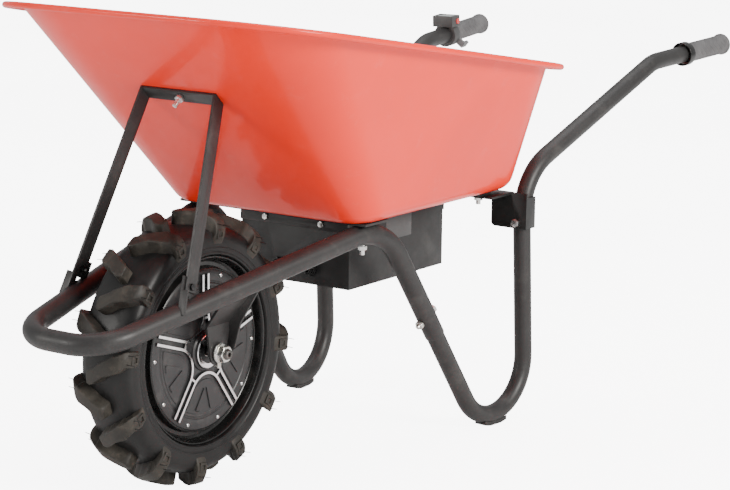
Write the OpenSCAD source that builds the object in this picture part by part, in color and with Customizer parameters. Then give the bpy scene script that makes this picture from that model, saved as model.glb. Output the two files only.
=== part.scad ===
// Power wheelbarrow: hub motor wheel in front, steel tub, looped tube frame, power box under the tub.
// X runs forward, Y to the operator's left, Z up. The ground is Z = 0. Millimetres.

/* [Wheel] */
// Outer diameter over the tread lugs
wheel_d = 436; // [420:2:450]
// Width of the tyre carcass
tyre_w = 100; // [90:2:104]
// Diameter of the rim flanges
rim_d = 296; // [280:2:300]
// Lugs on each side of the tread
lug_count = 12; // [10:1:16]
// Axle diameter
axle_d = 16; // [14:1:18]
// Screws around each hub cover
cover_screw_count = 10; // [5:5:15]

/* [Tub] */
// Length of the rim of the tub, measured level
tub_l = 878; // [780:2:960]
// Width over the rim of the tub
tub_w = 640; // [560:2:700]
// Height of the front edge of the rim
rim_front_z = 755; // [700:5:800]
// Height of the rear edge of the rim
rim_rear_z = 610; // [580:5:640]
// Length of the flat floor of the tub
floor_l = 471; // [420:1:520]
// Width of the flat floor of the tub
floor_w = 402; // [360:2:440]
// Sheet thickness of the tub
sheet_t = 2; // [1.5:0.5:3]
// Width of the rim flange
rim_flange = 28; // [20:1:36]
// Corner radius of the tub at the rim
corner_r = 140; // [90:5:160]

/* [Frame] */
// Outer diameter of the front frame tube
frame_tube_d = 33.7; // [30:0.1:36]
// Outer diameter of the handle tubes
handle_tube_d = 30.5; // [26:0.1:32]
// Wall of the handle tubes
handle_wall = 2; // [1.5:0.5:3]
// Distance from the axle forward to the middle of the front bar
loop_x = 288; // [270:2:310]
// Width between the middles of the two feet
foot_span = 409; // [380:1:430]
// Radius of the bend over each foot
foot_bend_r = 88; // [75:1:100]
// Distance from the axle back to the tips of the grips
reach = 1268; // [1150:2:1350]
// Height of the tips of the grips
grip_z = 600; // [560:5:660]

/* [Power box] */
// Length of the box
box_l = 275; // [220:5:300]
// Width of the box
box_w = 220; // [180:5:250]
// Depth of the box under the tub
box_h = 124; // [90:2:140]

/* [Hidden] */
$fn = 48;
gap = 0.05;            // running or sliding clearance on a radius
skin = 0.3;            // clearance between parts that only lie next to each other
wheel_r = wheel_d / 2;
frame_r = frame_tube_d / 2;
handle_r = handle_tube_d / 2;
sleeve_r = handle_r + gap;
bolt_r = 4;            // M8
hole_r = bolt_r + gap;
nut_af_r = 7.5;        // half the width over the corners of an M8 nut
nut_h = 6.5;
head_h = 5.3;
small_bolt_r = 3;      // M6
small_hole_r = small_bolt_r + gap;
plate_t = 4;
seam_l = 1;
seam_in = 0.35;
seam_slit = 0.01;      // kept between a straight and its bend outside the seam ring

// side plane: every handle tube lies in an upright plane that splays rearwards
splay = 5.43;
foot_s = 582.5;        // distance along the side plane to the middle of the foot bend
plane_y = foot_span / 2 - foot_s * sin(splay);
function side(s, z) = [-s * cos(splay), plane_y + s * sin(splay), z];
skid_t = 3;
skid_wear = 0.8;       // depth of the flat under the skid
foot_c = [foot_s, skid_t - skid_wear + handle_r + foot_bend_r];
apex = [287, 389.6];   // corner where the rail turns down into the leg
knee = [653.5, 421.4]; // corner where the upright turns back into the handle
wrist = [1043, 585.5]; // corner where the handle levels out into the grip
tip = [reach / cos(splay), grip_z];

// vectors
function unit(v) = v / norm(v);
function aim(p, c, r, sgn) =
    let (d = c - p, a = atan2(d[1], d[0]) + sgn * asin(r / norm(d)), l = sqrt(d * d - r * r))
    p + l * [cos(a), sin(a)];
leg_touch = aim(apex, foot_c, foot_bend_r, -1);
post_touch = aim(knee, foot_c, foot_bend_r, 1);
touch_mid = (leg_touch + post_touch) / 2 - foot_c;
foot_v = foot_c + touch_mid * (foot_bend_r * foot_bend_r / (touch_mid * touch_mid));
leg_dir = unit(foot_v - apex);
post_dir = unit(knee - foot_v);
grip_dir = unit(tip - wrist);

// splice in the leg, measured down the leg from the apex
leg_l = norm(leg_touch - apex);
splice_s = 246;        // end of the front tube
splice_in = 80;        // how far the handle tube runs inside
splice_bolt_s = splice_s - 41;
function leg_at(d) = side((apex + d * leg_dir)[0], (apex + d * leg_dir)[1]);
function post_at(d) = side((knee - d * post_dir)[0], (knee - d * post_dir)[1]);
function grip_at(d) = side((tip - d * grip_dir)[0], (tip - d * grip_dir)[1]);

// rails
apex_r = 100;
loop_corner_r = 70;
rail_slope = 0.19;
loop_z = apex[1] - rail_slope * (loop_x - side(apex[0], 0)[0]);
loop_y = 78;
apex_p = side(apex[0], apex[1]);
loop_p = [loop_x, loop_y, loop_z];
function rail_at(x) =
    let (k = (x - apex_p[0]) / (loop_p[0] - apex_p[0])) apex_p + k * (loop_p - apex_p);
function flip(p) = [p[0], -p[1], p[2]];
rail_dir = unit(loop_p - apex_p);

// tub
rim_front_x = 158;
rim_rear_x = rim_front_x - tub_l;
rim_tilt = atan2(rim_front_z - rim_rear_z, tub_l);
rim_l = tub_l / cos(rim_tilt);
bead_r = 5;
floor_front_x = -198;
floor_rear_x = floor_front_x - floor_l;
fillet_r = 32;
fillet_set = 0.43;     // how far back the front fillet lies, as a share of its radius
floor_corner_r = fillet_r + 1;
// top of the rails where the cross angle lies
leg_up = unit(apex_p - leg_at(1));
bend_n = unit(cross(leg_up, rail_dir));
bend_c = apex_p + apex_r / cos(acos(leg_up * rail_dir) / 2) * unit(rail_dir - leg_up);
crest = bend_c + apex_r * unit([0, 0, 1] - bend_n[2] * bend_n);
crest_x = crest[0];
crest_y = crest[1];
crest_z = crest[2];
angle_t = 4;
floor_z = crest_z + frame_r + angle_t + skin;

// grips
grip_l = 122;
grip_r = 17.8;
grip_end_r = 20;
grip_end_t = 6;
stop_r = 22;
stop_l = 15;

// everything is drawn from the axle, then moved so that its length is centred
front_x = max(loop_x + frame_r, wheel_r);
grip_lean = sqrt(1 - pow(grip_dir[0] * cos(splay), 2));
rear_x = side(tip[0], 0)[0] - grip_end_r * grip_lean;
shift_x = -(front_x + rear_x) / 2;

// ---------- helpers ----------

// draws children with their Z along b - a, starting at a
module along(a, b) {
    d = b - a;
    translate(a) rotate([0, acos(d[2] / norm(d)), atan2(d[1], d[0])]) children();
}

// children drawn in a frame given by an origin and three unit axes
module framed(o, x, y, z) {
    multmatrix([[x[0], y[0], z[0], o[0]], [x[1], y[1], z[1], o[1]], [x[2], y[2], z[2], o[2]],
        [0, 0, 0, 1]]) children();
}

module ring_2d(ro, ri) {
    difference() {
        circle(ro);
        if (ri > 0) circle(ri);
    }
}

// ring inside the tube wall that joins a straight to the bend next to it
module seam_ring(z, ro, ri) {
    translate([0, 0, z - seam_l / 2]) linear_extrude(seam_l) ring_2d(ro - seam_in, ri + seam_in);
}

// one straight and the bend after it, then the rest of the tube, each drawn from the last one's end
module run(l, turn, r, angle, ro, ri, i) {
    start = i > 0 ? seam_slit : 0;
    end = i < len(l) - 1 ? seam_slit : 0;
    translate([0, 0, start]) linear_extrude(l[i] - start - end) ring_2d(ro, ri);
    if (i > 0) seam_ring(0, ro, ri);
    if (i < len(l) - 1) seam_ring(l[i], ro, ri);
    if (i < len(l) - 1) translate([0, 0, l[i]]) rotate([0, 0, turn[i]]) {
        translate([r[i], 0, 0]) rotate([-90, 0, 0]) rotate([0, 0, 180])
            rotate_extrude(angle = angle[i]) translate([r[i], 0]) ring_2d(ro, ri);
        translate([r[i], 0, 0]) rotate([0, angle[i], 0]) translate([-r[i], 0, 0])
            run(l, turn, r, angle, ro, ri, i + 1);
    }
}

// a bent tube through points p, with bend radius r[i] at each inner point
module tube(p, r, ro, ri) {
    n = len(p) - 1;
    dir = [for (i = [0:n - 1]) unit(p[i + 1] - p[i])];
    angle = [for (i = [1:n - 1]) acos(dir[i - 1] * dir[i])];
    // direction from the tube to the middle of each bend, where the bend starts and ends
    w = [for (i = [1:n - 1]) unit(dir[i] - (dir[i] * dir[i - 1]) * dir[i - 1])];
    w_end = [for (i = [0:n - 2]) cos(angle[i]) * w[i] - sin(angle[i]) * dir[i]];
    turn = [for (i = [0:n - 2]) i == 0 ? 0
        : atan2(w[i] * cross(dir[i - 1], w[i - 1]), w[i] * w_end[i - 1])];
    cut = [for (i = [0:n]) i == 0 || i == n ? 0 : r[i] * tan(angle[i - 1] / 2)];
    l = [for (i = [0:n - 1]) norm(p[i + 1] - p[i]) - cut[i] - cut[i + 1]];
    bend_r = [for (i = [1:n - 1]) r[i]];
    framed(p[0], w[0], cross(dir[0], w[0]), dir[0]) run(l, turn, bend_r, angle, ro, ri, 0);
}

// hex head with a shank of length l below the face at z = 0
module bolt(r, l, af, h) {
    cylinder(r = af, h = h, $fn = 6);
    translate([0, 0, -l]) cylinder(r = r, h = l + h / 2);
}

module nut(r, af, h) {
    difference() {
        cylinder(r = af, h = h, $fn = 6);
        translate([0, 0, -1]) cylinder(r = r + gap, h = h + 2);
    }
}

module both() {
    children();
    mirror([0, 1, 0]) children();
}

module centred() {
    translate([shift_x, 0, 0]) children();
}

// ---------- tub ----------

module rim_frame() {
    translate([rim_front_x, 0, rim_front_z]) rotate([0, -rim_tilt, 0]) children();
}

// four corner places of the rim, set in by r from its edge
module rim_corners(r) {
    rim_frame() for (x = [-r, -rim_l + r]) for (s = [-1, 1])
        translate([x, s * (tub_w / 2 - r), 0]) children();
}

// outline of the rim with its edge set in by inset
module rim_2d(inset) {
    r = corner_r + rim_flange - inset;
    l = rim_l - 2 * inset;
    w = tub_w - 2 * inset;
    translate([-inset, 0]) {
        translate([-l + r, -w / 2]) square([l - 2 * r, w]);
        translate([-l, -w / 2 + r]) square([l, w - 2 * r]);
        for (x = [-r, -l + r]) for (y = [-w / 2 + r, w / 2 - r]) translate([x, y]) circle(r);
    }
}

// four discs under the rim that the walls start from, their surface set in by inset
module wall_discs(inset, z, h) {
    rim_corners(corner_r + rim_flange) translate([0, 0, z])
        cylinder(r = corner_r - inset, h = h, $fn = 40);
}

// four rounded feet of the walls, their surface set in by inset
module floor_rounds(inset) {
    for (x = [floor_front_x - fillet_set * fillet_r - floor_corner_r,
            floor_rear_x + 0.9 * fillet_r + floor_corner_r])
        for (s = [-1, 1])
            translate([x, s * (floor_w / 2 - 0.72 * fillet_r - floor_corner_r),
                floor_z + fillet_r]) rotate_extrude($fn = 28)
                translate([floor_corner_r, 0]) circle(fillet_r - inset, $fn = 20);
}

// rolled edge under the rim
module rim_bead() {
    r = corner_r + rim_flange;
    rim_frame() translate([0, 0, -bead_r]) {
        for (i = [0:3]) translate([i < 1 || i > 2 ? -r : -rim_l + r,
            i < 2 ? tub_w / 2 - r : -tub_w / 2 + r, 0]) rotate([0, 0, i * 90])
            rotate_extrude(angle = 90) translate([r - bead_r, 0]) circle(bead_r);
        for (s = [-1, 1]) {
            translate([-r, s * (tub_w / 2 - bead_r), 0]) rotate([0, -90, 0])
                cylinder(r = bead_r, h = rim_l - 2 * r);
            translate([-rim_l / 2 + s * (rim_l / 2 - bead_r), tub_w / 2 - r, 0])
                rotate([90, 0, 0]) cylinder(r = bead_r, h = tub_w - 2 * r);
        }
    }
}

module rim_plate() {
    rim_frame() translate([0, 0, -sheet_t]) linear_extrude(sheet_t) difference() {
        rim_2d(bead_r);
        rim_2d(rim_flange + sheet_t / 2);
    }
}

module tub() color([0.86, 0.25, 0.18]) centred() difference() {
    union() {
        rim_bead();
        rim_plate();
        difference() {
            hull() {
                wall_discs(0, -sheet_t, sheet_t / 2);
                floor_rounds(0);
            }
            hull() {
                wall_discs(sheet_t, -sheet_t, sheet_t + 1);
                floor_rounds(sheet_t);
            }
        }
    }
    tub_bolt_places() translate([0, 0, -10]) cylinder(r = hole_r, h = 20);
    tub_front_place() translate([0, 0, -20]) cylinder(r = hole_r, h = 40);
}

// ---------- frame ----------

module front_frame_tube() color([0.13, 0.13, 0.13]) centred() difference() {
    tube([leg_at(splice_s), apex_p, loop_p, flip(loop_p), flip(apex_p), flip(leg_at(splice_s))],
        [0, apex_r, loop_corner_r, loop_corner_r, apex_r, 0], frame_r, sleeve_r);
    both() splice_bolt_line() translate([0, 0, -30]) cylinder(r = hole_r, h = 60);
    both() crest_bolt_line() translate([0, 0, floor_z - 60]) cylinder(r = hole_r, h = 80);
}

module handle() difference() {
    tube([leg_at(splice_s - splice_in), side(foot_v[0], foot_v[1]), side(knee[0], knee[1]),
        side(wrist[0], wrist[1]), grip_at(grip_end_t)],
        [0, foot_bend_r, 105, 95, 0], handle_r, handle_r - handle_wall);
    splice_bolt_line() translate([0, 0, -30]) cylinder(r = hole_r, h = 60);
    clamp_bolt_line() translate([0, 0, -40]) cylinder(r = hole_r, h = 80);
}

module left_handle_tube() color([0.13, 0.13, 0.13]) centred() handle();
module right_handle_tube() color([0.13, 0.13, 0.13]) centred() mirror([0, 1, 0]) handle();

// middle of the foot bend, Z across the side plane
module foot_frame() framed(side(foot_c[0], foot_c[1]), [-cos(splay), sin(splay), 0], [0, 0, 1],
    [sin(splay), cos(splay), 0]) children();

// curved wear plate under the foot bend, with a flat where it stands
skid_l = 60;
skid_w = 22;
skid_h = foot_c[1] - foot_bend_r + 0.8 * sqrt(pow(handle_r, 2) - pow(skid_w / 2, 2));
module skid() difference() {
    foot_frame() intersection() {
        cylinder(r = foot_bend_r + handle_r + skid_t, h = skid_w, center = true, $fn = 96);
        translate([-skid_l / 2, -foot_c[1], -skid_w]) cube([skid_l, skid_h, 2 * skid_w]);
    }
    foot_frame() rotate_extrude($fn = 96) translate([foot_bend_r, 0]) circle(handle_r + skin);
}

module left_foot_skid() color([0.2, 0.2, 0.2]) centred() skid();
module right_foot_skid() color([0.2, 0.2, 0.2]) centred() mirror([0, 1, 0]) skid();

// line through the splice, across the leg in the side plane, head to the rear
module splice_bolt_line() {
    p = leg_at(splice_bolt_s);
    n = unit(side(leg_dir[1], -leg_dir[0]) - side(0, 0));
    along(p, p - n) children();
}

module splice_bolts() color([0.75, 0.75, 0.78]) centred() both() splice_bolt_line()
    translate([0, 0, frame_r]) bolt(bolt_r, 2 * frame_r + nut_h + 4, nut_af_r, head_h);

module splice_nuts() color([0.75, 0.75, 0.78]) centred() both() splice_bolt_line()
    translate([0, 0, -frame_r - nut_h]) nut(bolt_r, nut_af_r, nut_h);

// ---------- fork and brace ----------

fork_in = 64;          // inner face of the fork plate at the axle
fork_bend_z = wheel_r + 46;
fork_half = 20;
fork_top = rail_at(-14);
fork_top_y = fork_top[1] - frame_r * 0.55;
fork_top_z = fork_top[2] - 6;

module fork_plate() difference() {
    union() {
        // upright part at the axle
        translate([0, fork_in + plate_t, wheel_r]) rotate([90, 0, 0])
            linear_extrude(plate_t) {
                circle(fork_half);
                polygon([[-fork_half, 0], [fork_half, 0], [fork_half + 8, fork_bend_z - wheel_r],
                    [-fork_half - 10, fork_bend_z - wheel_r]]);
            }
        // leaning part up to the rail
        framed([0, fork_in, fork_bend_z], [1, 0, 0], fork_lean_dir(),
            cross([1, 0, 0], fork_lean_dir())) translate([0, 0, -plate_t])
            linear_extrude(plate_t)
            polygon([[-fork_half - 10, -0.5], [fork_half + 8, -0.5], [fork_half + 22, fork_lean_l()],
                [-fork_half - 38, fork_lean_l()]]);
        // rear flange
        translate([-fork_half - 10, fork_in, 0]) rotate([90, 0, 90])
            linear_extrude(plate_t)
            polygon([[0, wheel_r - 4], [14, wheel_r + 4], [26, fork_bend_z],
                [fork_top_y - fork_in + 2, fork_top_z - 16], [fork_top_y - fork_in - 3, fork_top_z - 4],
                [0, fork_bend_z]]);
    }
    translate([0, fork_in - 10, wheel_r]) rotate([-90, 0, 0])
        cylinder(r = axle_d / 2 + gap, h = 40);
    // room for the rail tube
    along(rail_at(-200), rail_at(200))
        cylinder(r = frame_r + gap, h = norm(rail_at(200) - rail_at(-200)));
}
function fork_lean_dir() = unit([0, fork_top_y - fork_in, fork_top_z - fork_bend_z]);
function fork_lean_l() = norm([0, fork_top_y - fork_in, fork_top_z - fork_bend_z]) + 6;

module left_fork_plate() color([0.13, 0.13, 0.13]) centred() fork_plate();
module right_fork_plate() color([0.13, 0.13, 0.13]) centred() mirror([0, 1, 0]) fork_plate();

// brace: one flat strap bolted to the front of the tub, its legs bolted to brackets on the rails
strap_w = 25;
strap_t = 4;
brace_half = 72;
wall_top = [rim_front_x - rim_flange * cos(rim_tilt) + sheet_t * sin(rim_tilt),
    rim_front_z - rim_flange * sin(rim_tilt) - sheet_t * cos(rim_tilt)];
wall_foot = aim(wall_top, [floor_front_x - fillet_set * fillet_r, floor_z + fillet_r], fillet_r, 1);
wall_run = unit(wall_top - wall_foot);
wall_dir = [wall_run[0], 0, wall_run[1]];
wall_out = [wall_run[1], 0, -wall_run[0]];
brace_x = 4;           // where the strap's bolt goes through the front wall
brace_k = (brace_x - wall_foot[0]) / wall_run[0];
brace_p = [wall_foot[0], 0, wall_foot[1]] + brace_k * wall_dir + skin * wall_out;
strap_mid = brace_p + strap_t / 2 * wall_out;
bracket_x = 118;
bracket_p = rail_at(bracket_x);
bracket_t = 3;
leg_top = strap_mid + [0, brace_half, 0];
leg_foot = [bracket_x, bracket_p[1] + 2, bracket_p[2] + frame_r + 18];
leg_d = unit(leg_foot - leg_top);
leg_n = unit([0, 1, 0] - (([0, 1, 0] * leg_d) * leg_d));
leg_x = cross(leg_n, leg_d);
leg_end = 8;           // how far a leg runs on past its bolt
front_bolt_l = 26;

module front_brace() color([0.12, 0.12, 0.12]) centred() difference() {
    union() {
        framed(strap_mid, wall_dir, [0, 1, 0], cross(wall_dir, [0, 1, 0]))
            translate([-strap_w / 2, -brace_half - strap_t / 2, -strap_t / 2])
            cube([strap_w, 2 * brace_half + strap_t, strap_t]);
        both() leg_frame(leg_top) translate([-strap_w / 2, -strap_t / 2, -strap_t])
            cube([strap_w, strap_t, norm(leg_foot - leg_top) + leg_end + strap_t]);
    }
    // nothing of the legs goes in behind the strap
    tub_front_place() translate([-2 * strap_w, -2 * brace_half, -strap_w])
        cube([4 * strap_w, 4 * brace_half, strap_w]);
    tub_front_place() translate([0, 0, -20]) cylinder(r = hole_r, h = 40);
    both() brace_bolt_line() translate([0, 0, -20]) cylinder(r = small_hole_r, h = 40);
}

// on the outside of the front wall, Z out of it
module tub_front_place() framed(brace_p, wall_dir, [0, -1, 0], wall_out) children();

// along a leg of the brace, Z down it and Y away from the middle
module leg_frame(o) framed(o, leg_x, leg_n, leg_d) children();

module tub_front_bolt() color([0.75, 0.75, 0.78]) centred() tub_front_place() mirror([0, 0, 1])
    translate([0, 0, skin + sheet_t]) bolt(bolt_r, front_bolt_l, nut_af_r, head_h);

module tub_front_nut() color([0.75, 0.75, 0.78]) centred() tub_front_place()
    translate([0, 0, strap_t]) nut(bolt_r, nut_af_r, nut_h);

// across the lower end of a brace leg
module brace_bolt_line() framed(leg_foot, leg_x, cross(leg_n, leg_x), leg_n) children();

module brace_bolts() color([0.2, 0.2, 0.2]) centred() both() brace_bolt_line()
    translate([0, 0, strap_t / 2]) bolt(small_bolt_r, 18, 5.5, 4);

module brace_nuts() color([0.2, 0.2, 0.2]) centred() both() brace_bolt_line()
    translate([0, 0, -strap_t / 2 - bracket_t - 5]) nut(small_bolt_r, 5.5, 5);

// folded bracket: plate behind the leg's end, front flange, cut round to the rail
bracket_w = 34;
bracket_up = 14;
bracket_down = 46;
bracket_lip = 14;
module brace_bracket() difference() {
    leg_frame(leg_foot) union() {
        translate([-bracket_w / 2, -strap_t / 2 - bracket_t, -bracket_up])
            cube([bracket_w, bracket_t, bracket_up + bracket_down]);
        translate([-bracket_w / 2, -strap_t / 2 - bracket_t, leg_end + skin])
            cube([bracket_t, bracket_lip, bracket_down - leg_end - skin]);
    }
    along(rail_at(-100), rail_at(260))
        cylinder(r = frame_r + gap, h = norm(rail_at(260) - rail_at(-100)));
    brace_bolt_line() translate([0, 0, -20]) cylinder(r = small_hole_r, h = 40);
    leg_frame(leg_foot) translate([-5, -12, 14]) cube([10, 16, 6]);
}

module left_brace_bracket() color([0.12, 0.12, 0.12]) centred() brace_bracket();
module right_brace_bracket() color([0.12, 0.12, 0.12]) centred() mirror([0, 1, 0]) brace_bracket();

// ---------- under the tub ----------

box_front_x = crest_x - 46;
box_rear_x = box_front_x - box_l;
box_t = 1.5;
lid_t = 1.5;
lid_z = floor_z - angle_t - skin - lid_t;
box_z = floor_z - box_h - 4;
lip_h = 34;
box_bolt_y = 57;
box_bolt_z = floor_z - 24;
clamp_s = 77.5;        // down the upright from the knee corner
clamp_c = post_at(clamp_s);
ear_x = clamp_c[0] + handle_r + 1;
rear_bolt_x = box_rear_x - 26;
rear_bolt_y = 165;
clamp_bolt_y = clamp_c[1];

module crest_bolt_line() translate([crest_x, crest_y, 0]) children();

module crest_bolt_line_up() translate([crest_x, crest_y, floor_z]) children();

module tub_bolt_places() {
    both() crest_bolt_line_up() children();
    both() translate([rear_bolt_x, rear_bolt_y, floor_z]) children();
}

module front_cross_angle() color([0.12, 0.12, 0.12]) centred() difference() {
    union() {
        translate([box_front_x, -crest_y - 20, floor_z - angle_t])
            cube([crest_x + 20 - box_front_x, 2 * crest_y + 40, angle_t]);
        translate([box_front_x, -box_w / 2, floor_z - lip_h]) cube([angle_t, box_w, lip_h]);
    }
    both() crest_bolt_line() translate([0, 0, floor_z - 30]) cylinder(r = hole_r, h = 60);
    both() box_bolt_front() translate([0, 0, -20]) cylinder(r = small_hole_r, h = 40);
}

module rear_cross_angle() color([0.12, 0.12, 0.12]) centred() difference() {
    union() {
        translate([rear_bolt_x - 14, -rear_bolt_y - 16, floor_z - angle_t])
            cube([box_rear_x - rear_bolt_x + 14, 2 * rear_bolt_y + 32, angle_t]);
        translate([box_rear_x - angle_t, -box_w / 2, floor_z - lip_h])
            cube([angle_t, box_w, lip_h]);
    }
    tub_bolt_places() translate([0, 0, -30]) cylinder(r = hole_r, h = 60);
    both() box_bolt_rear() translate([0, 0, -20]) cylinder(r = small_hole_r, h = 40);
}

// bracket that holds the handle tube: top plate under the rear angle, ear before the tube, outer lip
clamp_top = floor_z - angle_t - skin;
ear_h = 62;
ear_in_y = clamp_bolt_y - 62;
ear_out_y = clamp_bolt_y + handle_r + 1 + plate_t;
ear_notch = 12;
ear_round = 8;
module clamp_bracket() difference() {
    union() {
        translate([ear_x - 4, ear_in_y, clamp_top - plate_t])
            cube([rear_bolt_x + 20 - ear_x, 52, plate_t]);
        translate([ear_x, ear_in_y, clamp_top - ear_h]) cube([plate_t, ear_out_y - ear_in_y, ear_h]);
        translate([ear_x - 26, ear_out_y - plate_t, clamp_top - ear_h])
            cube([26 + plate_t, plate_t, ear_h - 8]);
    }
    clamp_bolt_line() translate([0, 0, -40]) cylinder(r = hole_r, h = 80);
    tub_bolt_places() translate([0, 0, -30]) cylinder(r = hole_r, h = 60);
    // notch low on the inner side of the ear
    translate([ear_x - 1, ear_in_y - 4, clamp_top - ear_h - 1])
        cube([plate_t + 2, 4 + ear_notch, ear_h - 14]);
    translate([ear_x - 1, ear_in_y + ear_notch, clamp_top - ear_h]) rotate([90, 0, 90])
        linear_extrude(plate_t + 2) difference() {
            translate([-1, -1]) square(ear_round + 1);
            translate([ear_round, ear_round]) circle(ear_round);
        }
}

module left_clamp_bracket() color([0.08, 0.08, 0.08]) centred() clamp_bracket();
module right_clamp_bracket() color([0.08, 0.08, 0.08]) centred() mirror([0, 1, 0]) clamp_bracket();

module clamp_bolt_line() translate(clamp_c) rotate([0, 90, 0]) children();

module clamp_bolts() color([0.75, 0.75, 0.78]) centred() both() clamp_bolt_line()
    translate([0, 0, handle_r + 1 + plate_t]) bolt(bolt_r, 2 * handle_r + 20, nut_af_r, head_h);

module clamp_nuts() color([0.75, 0.75, 0.78]) centred() both() clamp_bolt_line()
    translate([0, 0, -handle_r - 1 - nut_h]) nut(bolt_r, nut_af_r, nut_h);

module tub_bolts() color([0.75, 0.75, 0.78]) centred() {
    both() crest_bolt_line_up() translate([0, 0, sheet_t])
        bolt(bolt_r, 2 * frame_r + 22, nut_af_r, head_h);
    both() translate([rear_bolt_x, rear_bolt_y, floor_z + sheet_t])
        bolt(bolt_r, 24, nut_af_r, head_h);
}

module tub_nuts() color([0.75, 0.75, 0.78]) centred() {
    both() translate([crest_x, crest_y, crest_z - frame_r - nut_h - 1]) nut(bolt_r, nut_af_r, nut_h);
    both() translate([rear_bolt_x, rear_bolt_y, clamp_top - plate_t - nut_h])
        nut(bolt_r, nut_af_r, nut_h);
}

module power_box() color([0.16, 0.16, 0.16]) centred() difference() {
    translate([box_rear_x, -box_w / 2, box_z]) cube([box_l, box_w, lid_z - box_z]);
    translate([box_rear_x + box_t, -box_w / 2 + box_t, box_z + box_t])
        cube([box_l - 2 * box_t, box_w - 2 * box_t, box_h]);
    both() box_bolt_front() translate([0, 0, -20]) cylinder(r = small_hole_r, h = 40);
    both() box_bolt_rear() translate([0, 0, -20]) cylinder(r = small_hole_r, h = 40);
    gland_places() translate([0, 0, -10]) cylinder(r = gland_r + gap, h = 20);
    socket_place() translate([0, 0, -10]) cylinder(r = socket_r + gap, h = 20);
}

module power_box_lid() color([0.16, 0.16, 0.16]) centred()
    translate([box_rear_x, -box_w / 2, lid_z]) cube([box_l, box_w, lid_t]);

module box_bolt_front() translate([box_front_x, box_bolt_y, box_bolt_z]) rotate([0, 90, 0])
    children();
module box_bolt_rear() translate([box_rear_x, box_bolt_y, box_bolt_z]) rotate([0, -90, 0])
    children();

module box_bolts() color([0.75, 0.75, 0.78]) centred() both() {
    box_bolt_front() translate([0, 0, angle_t]) bolt(small_bolt_r, 14, 5.5, 4);
    box_bolt_rear() translate([0, 0, angle_t]) bolt(small_bolt_r, 14, 5.5, 4);
}

module box_nuts() color([0.75, 0.75, 0.78]) centred() both() {
    box_bolt_front() translate([0, 0, -box_t - 5]) nut(small_bolt_r, 5.5, 5);
    box_bolt_rear() translate([0, 0, -box_t - 5]) nut(small_bolt_r, 5.5, 5);
}

battery_h = 70;
module battery_pack() color([0.1, 0.25, 0.5]) centred()
    translate([box_rear_x + 20, -box_w / 2 + 15, box_z + box_t])
    cube([box_l - 40, box_w - 30, battery_h]);

module motor_controller() color([0.6, 0.6, 0.62]) centred()
    translate([box_rear_x + 70, -40, box_z + box_t + battery_h]) {
        cube([120, 80, 4]);
        translate([6, 6, 4]) cube([108, 68, 14]);
        for (i = [0:7]) translate([8 + i * 14, 6, 18]) cube([4, 68, 3]);
    }

label_w = 74;
label_h = 46;
module rating_label() color([0.75, 0.75, 0.75]) centred()
    translate([box_rear_x + 96, box_w / 2, box_z + 66]) cube([label_w, 0.4, label_h]);

gland_r = 8;
socket_r = 11;
module gland_places() for (y = [-34, 34])
    translate([box_front_x, y, box_z + 26]) rotate([0, 90, 0]) children();
module socket_place() translate([box_rear_x, -60, box_z + 44]) rotate([0, -90, 0]) children();

module cable_glands() color([0.1, 0.1, 0.1]) centred() gland_places() difference() {
    union() {
        cylinder(r = 12, h = 4, $fn = 6);
        translate([0, 0, -8]) cylinder(r = gland_r, h = 20);
        translate([0, 0, -8]) cylinder(r = 11, h = 4, $fn = 6);
    }
    translate([0, 0, -9]) cylinder(r = 4, h = 22);
}

module charge_socket() color([0.1, 0.1, 0.1]) centred() socket_place() {
    difference() {
        union() {
            cylinder(r = 14, h = 2.5);
            translate([0, 0, -14]) cylinder(r = socket_r, h = 15);
        }
        translate([0, 0, -8]) cylinder(r = 8, h = 12);
    }
    translate([0, 0, -9]) for (a = [0, 120, 240]) rotate([0, 0, a]) translate([4, 0, 0])
        cylinder(r = 1, h = 9);
}

// ---------- wheel ----------

module at_axle() translate([0, 0, wheel_r]) children();
// Z of the children runs along +Y
module spun() at_axle() rotate([-90, 0, 0]) children();

axle_half = 90;
cover_in = 34;
cover_t = 5;
cover_r = 126;
boss_r = 31;
boss_out = 50;
bearing_r = 20;
bearing_w = 12;
stator_r = 92;
magnet_in = stator_r + 1;
magnet_t = 4;
drum_in = magnet_in + magnet_t;
screw_ring_r = 119;
rim_r = rim_d / 2;
seat_r = rim_r - 17;
screw_r = 2.5;
screw_l = 16;
screw_deep = 17;
rim_half = 44;

module axle() color([0.25, 0.25, 0.26]) centred() spun() difference() {
    translate([0, 0, -axle_half]) cylinder(r = axle_d / 2, h = 2 * axle_half);
    for (s = [-1, 1]) translate([0, 0, s * axle_half]) cylinder(r = 3.5, h = 12, center = true,
        $fn = 6);
}

nut_face = fork_in + plate_t;
module axle_washers() color([0.8, 0.8, 0.82]) centred() both() spun() difference() {
    translate([0, 0, nut_face + 2]) cylinder(r = 16, h = 3);
    cylinder(r = axle_d / 2 + gap, h = 200);
}

module tab_washers() color([0.8, 0.8, 0.82]) centred() both() spun() difference() {
    union() {
        translate([0, 0, nut_face]) cylinder(r = 13, h = 2);
        translate([-4, 0, nut_face]) cube([8, 24, 2]);
        translate([-4, fork_half + skin, nut_face - plate_t - 2])
            cube([8, 2, plate_t + 4]);
    }
    cylinder(r = axle_d / 2 + gap, h = 200);
}

module axle_nuts() color([0.8, 0.8, 0.82]) centred() both() spun() difference() {
    union() {
        translate([0, 0, nut_face + 5]) cylinder(r = 13.8, h = 12, $fn = 6);
        translate([0, 0, nut_face + 5]) cylinder(r = 15, h = 2);
    }
    cylinder(r = axle_d / 2 + gap, h = 200);
}

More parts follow.
